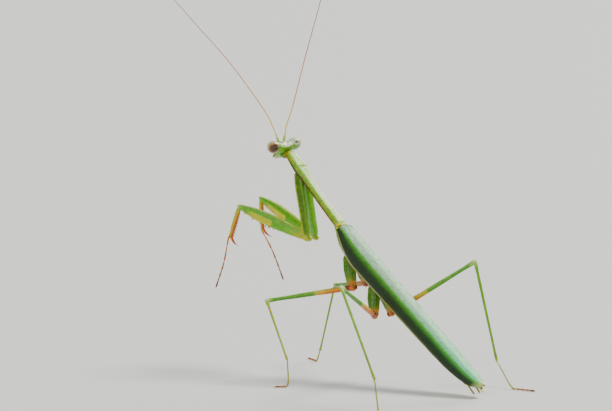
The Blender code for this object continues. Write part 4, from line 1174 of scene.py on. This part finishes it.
def wing_leather(name, lighten):
    """Wing colour: mint over the back, partly painted sheen, leaf green under the ridge, nearly black below,
    partly painted shade, and a tan leading edge that fades backward into painted shade. It follows the
    place across and along the wing. lighten brightens raised veins."""
    finish = Finish(name)
    axes = finish.axes()
    cloud = finish.clouds(finish.place, WING_DRIFT_SCALE, 6, 0.65)
    drift = finish.sum("MULTIPLY_ADD", finish.sum("SUBTRACT", cloud, 0.5), 0.10, axes["X"])
    colour = finish.ramp(drift, WING_FIELD)[0]
    rearward = finish.spread(axes["Z"], 0.35, 0.95, soft=True)
    colour = finish.over(colour, (0.32, 1.0, 0.72), rearward, "MULTIPLY")
    edge_colour = finish.ramp(axes["Z"], WING_EDGE)[0]
    colour = finish.over(colour, edge_colour, finish.spread(axes["X"], 0.966, 0.978, soft=True))
    colour = finish.over(colour, (0.44, 0.54, 0.14), finish.spread(axes["Z"], 0.955, 1.0, soft=True))

    stretch = finish.add("Mapping")
    stretch.inputs["Rotation"].default_value = (WING_PITCH, 0.0, 0.0)
    stretch.inputs["Scale"].default_value = (1.0, 0.55, 1.0)
    finish.link(finish.place, stretch.inputs["Vector"])
    net = finish.cells(stretch.outputs["Vector"], WING_NET_SCALE, feature="DISTANCE_TO_EDGE")
    threads = finish.spread(net.outputs["Distance"], 0.0, 0.14, 1.0, 0.0)
    colour = finish.over(colour, (0.012, 0.035, 0.008), threads, "ADD")
    flecks = finish.add("SeparateColor")
    fleck_cells = finish.cells(stretch.outputs["Vector"], WING_FLECK_SCALE)
    finish.link(fleck_cells.outputs["Color"], flecks.inputs[0])
    colour = finish.over(colour, finish.ramp(flecks.outputs[0], WING_FLECKS)[0], 0.8, "MULTIPLY")

    network = finish.dented(threads, 0.5, WING_NET_DEPTH)
    crinkle = finish.dented(cloud, 0.5, WING_CRINKLE_DEPTH, network)
    return finish.done(finish.shaded(colour, lighten), crinkle, finish.spread(cloud, 0.0, 1.0, 0.28, 0.50),
                       Specular_IOR_Level=0.4, Coat_Weight=0.06, Coat_Roughness=0.3)


wing_surface = wing_leather("wing leather", 1.0)
vein_surface = wing_leather("raised veins", 1.18)
# Lengthwise veins: where each starts and ends along the wing, and across it, from seam to leading edge.
LONG_VEINS = (
    (2.0, 47.5, 0.08, 0.20), (1.8, 48.6, 0.17, 0.32), (1.6, 49.0, 0.26, 0.42), (1.4, 49.2, 0.36, 0.50),
    (1.3, 49.3, 0.47, 0.57), (1.3, 49.2, 0.56, 0.66), (1.3, 48.6, 0.66, 0.76), (1.4, 47.6, 0.77, 0.86),
    (1.6, 46.0, 0.88, 0.93))
LONG_VEIN_RADIUS, LONG_VEIN_STEPS = 0.042, 60
CROSS_VEIN_RADIUS, CROSS_VEINS_START, CROSS_VEINS_END = 0.024, 3.0, 45.5


def wing_along(back):
    """The place along a wing, from 0 to 1, at a distance back."""
    return (back - WING_BASE) / (WING_LENGTH - WING_BASE)


def vein_cross(vein, back):
    """Where a lengthwise vein runs across the wing at a distance back."""
    start, end, first, last = vein
    t = (back - start) / (end - start)
    return first + (last - first) * t ** 1.6 + 0.006 * math.sin(back * 0.8 + first * 20)


for name, side in (("L", 1), ("R", -1)):
    wing = bmesh.new()
    wing_lie = wing.verts.layers.float_vector.new("lie")
    bmesh.ops.create_grid(wing, x_segments=WING_LONG_STEPS, y_segments=WING_CROSS_STEPS, size=1.0)
    for vert in wing.verts:
        along, cross = (vert.co.x + 1) / 2, (vert.co.y + 1) / 2
        back = WING_BASE + (WING_LENGTH - WING_BASE) * (along * 0.35 + 0.65 * math.sin(along * math.pi / 2))
        vert[wing_lie] = (cross, 0.0, wing_along(back))
        vert.co = wing_point(side, back, cross)
    wing.normal_update()
    top = min(wing.faces, key=lambda face: (face.calc_center_median() - on_body(20.0, 0.0, side)).length)
    if top.normal.dot(BACKWARD_DORSAL) < 0:
        bmesh.ops.reverse_faces(wing, faces=wing.faces)
        wing.normal_update()
    bmesh.ops.solidify(wing, geom=wing.faces[:], thickness=WING_SHEET)
    settle("wing_cover_" + name, wing, wing_surface, "wing", "forewing_" + name)

    veins = new_skin()
    vein_lie = veins.verts.layers.float_vector["lie"]

    def vein_tube(spots, radius):
        """One raised vein through places back and across, half sunk in the sheet."""
        first = len(veins.verts)
        path = [wing_point(side, back, cross, 0.012) for back, cross in spots]
        stations = []
        for i, point in enumerate(path):
            tangent = (path[min(i + 1, len(path) - 1)] - path[max(i - 1, 0)]).normalized()
            out = (point - on_body(spots[i][0], 2.2)).normalized()
            across = tangent.cross(out).normalized()
            taper = radius * (1 - 0.45 * i / len(path))
            stations.append((point, across, across.cross(tangent), taper, taper, 0.0))
        tube(veins, stations, 6)
        veins.verts.ensure_lookup_table()
        for vert in veins.verts[first:]:
            nearest = min(range(len(path)), key=lambda i: (path[i] - vert.co).length)
            back, cross = spots[nearest]
            vert[vein_lie] = (cross, 0.0, wing_along(back))

    for vein in LONG_VEINS:
        start, end = vein[:2]
        backs = [start + (end - start) * i / LONG_VEIN_STEPS for i in range(LONG_VEIN_STEPS + 1)]
        vein_tube([(back, vein_cross(vein, back)) for back in backs], LONG_VEIN_RADIUS)
    for row, (low, high) in enumerate(zip(LONG_VEINS, LONG_VEINS[1:])):
        back = CROSS_VEINS_START + 0.3 * row
        while back < CROSS_VEINS_END:
            lean = 0.35 * math.sin(back * 3.1 + row)
            inner, outer = vein_cross(low, back), vein_cross(high, back)
            spots = [(back, inner), (back + lean, (inner + outer) / 2), (back + lean * 0.4, outer)]
            vein_tube(spots, CROSS_VEIN_RADIUS)
            back += 0.9 + 0.25 * math.sin(back * 5.3 + row * 2.0)
    settle("wing_veins_" + name, veins, vein_surface, "wing")

# --- Camera and studio --------------------------------------------------------------------------
# A long lens that looks slightly down on the animal, a pale seamless floor and three broad soft lights:
# the main one high at its right and rear, a weak one on the camera's side, and a low one at its right
# that draws light edges.
CAMERA_TURN, CAMERA_RISE = 132.5, 6.0
CAMERA_DISTANCE = 0.45
camera_aim = Vector((-2.07, -7.53, 37.13)) * MM


def stand(turn, rise):
    """The direction from the animal to what stands at these degrees round it, from its front by its left
    side, and above the floor."""
    turn, rise = math.radians(turn), math.radians(rise)
    return Vector((math.sin(turn) * math.cos(rise), -math.cos(turn) * math.cos(rise), math.sin(rise)))


camera_back = stand(CAMERA_TURN, CAMERA_RISE)
camera_lens = bpy.data.cameras.new("camera")
camera_lens.lens = 120
camera_lens.sensor_width = 36
camera_lens.clip_start = 0.01
camera_lens.clip_end = 200
camera = bpy.data.objects.new("camera", camera_lens)
camera.location = camera_aim + camera_back * CAMERA_DISTANCE
camera.rotation_euler = camera_back.to_track_quat("Z", "Y").to_euler()
bpy.context.scene.collection.objects.link(camera)
bpy.context.scene.camera = camera

FLOOR_RADIUS = 60.0
floor_mesh = bpy.data.meshes.new("floor")
floor_bm = bmesh.new()
bmesh.ops.create_circle(floor_bm, cap_ends=True, radius=FLOOR_RADIUS, segments=96)
floor_bm.to_mesh(floor_mesh)
floor_bm.free()
floor = bpy.data.objects.new("floor", floor_mesh)
bpy.context.scene.collection.objects.link(floor)
floor_paper = Finish("pale floor")
floor_mesh.materials.append(floor_paper.done(None, Base_Color=(0.62, 0.63, 0.62, 1.0), Roughness=0.8))

world = bpy.data.worlds.new("studio")
world.use_nodes = True
background = world.node_tree.nodes["Background"]
background.inputs["Color"].default_value = (1.0, 0.99, 0.97, 1.0)
background.inputs["Strength"].default_value = 0.36
bpy.context.scene.world = world


def soft_sun(name, turn, rise, strength, spread, colour):
    """A far, broad light. turn and rise say where it stands, and spread how wide it looks, in degrees."""
    light = bpy.data.lights.new(name, "SUN")
    light.energy = strength
    light.angle = math.radians(spread)
    light.color = colour
    lamp = bpy.data.objects.new(name, light)
    lamp.rotation_euler = stand(turn, rise).to_track_quat("Z", "Y").to_euler()
    bpy.context.scene.collection.objects.link(lamp)


soft_sun("key", 240, 56, 4.4, 20, (1.0, 0.98, 0.94))
soft_sun("fill", 112, 32, 1.0, 45, (1.0, 0.99, 0.97))
soft_sun("rim", 282, 24, 1.8, 24, (1.0, 0.98, 0.94))
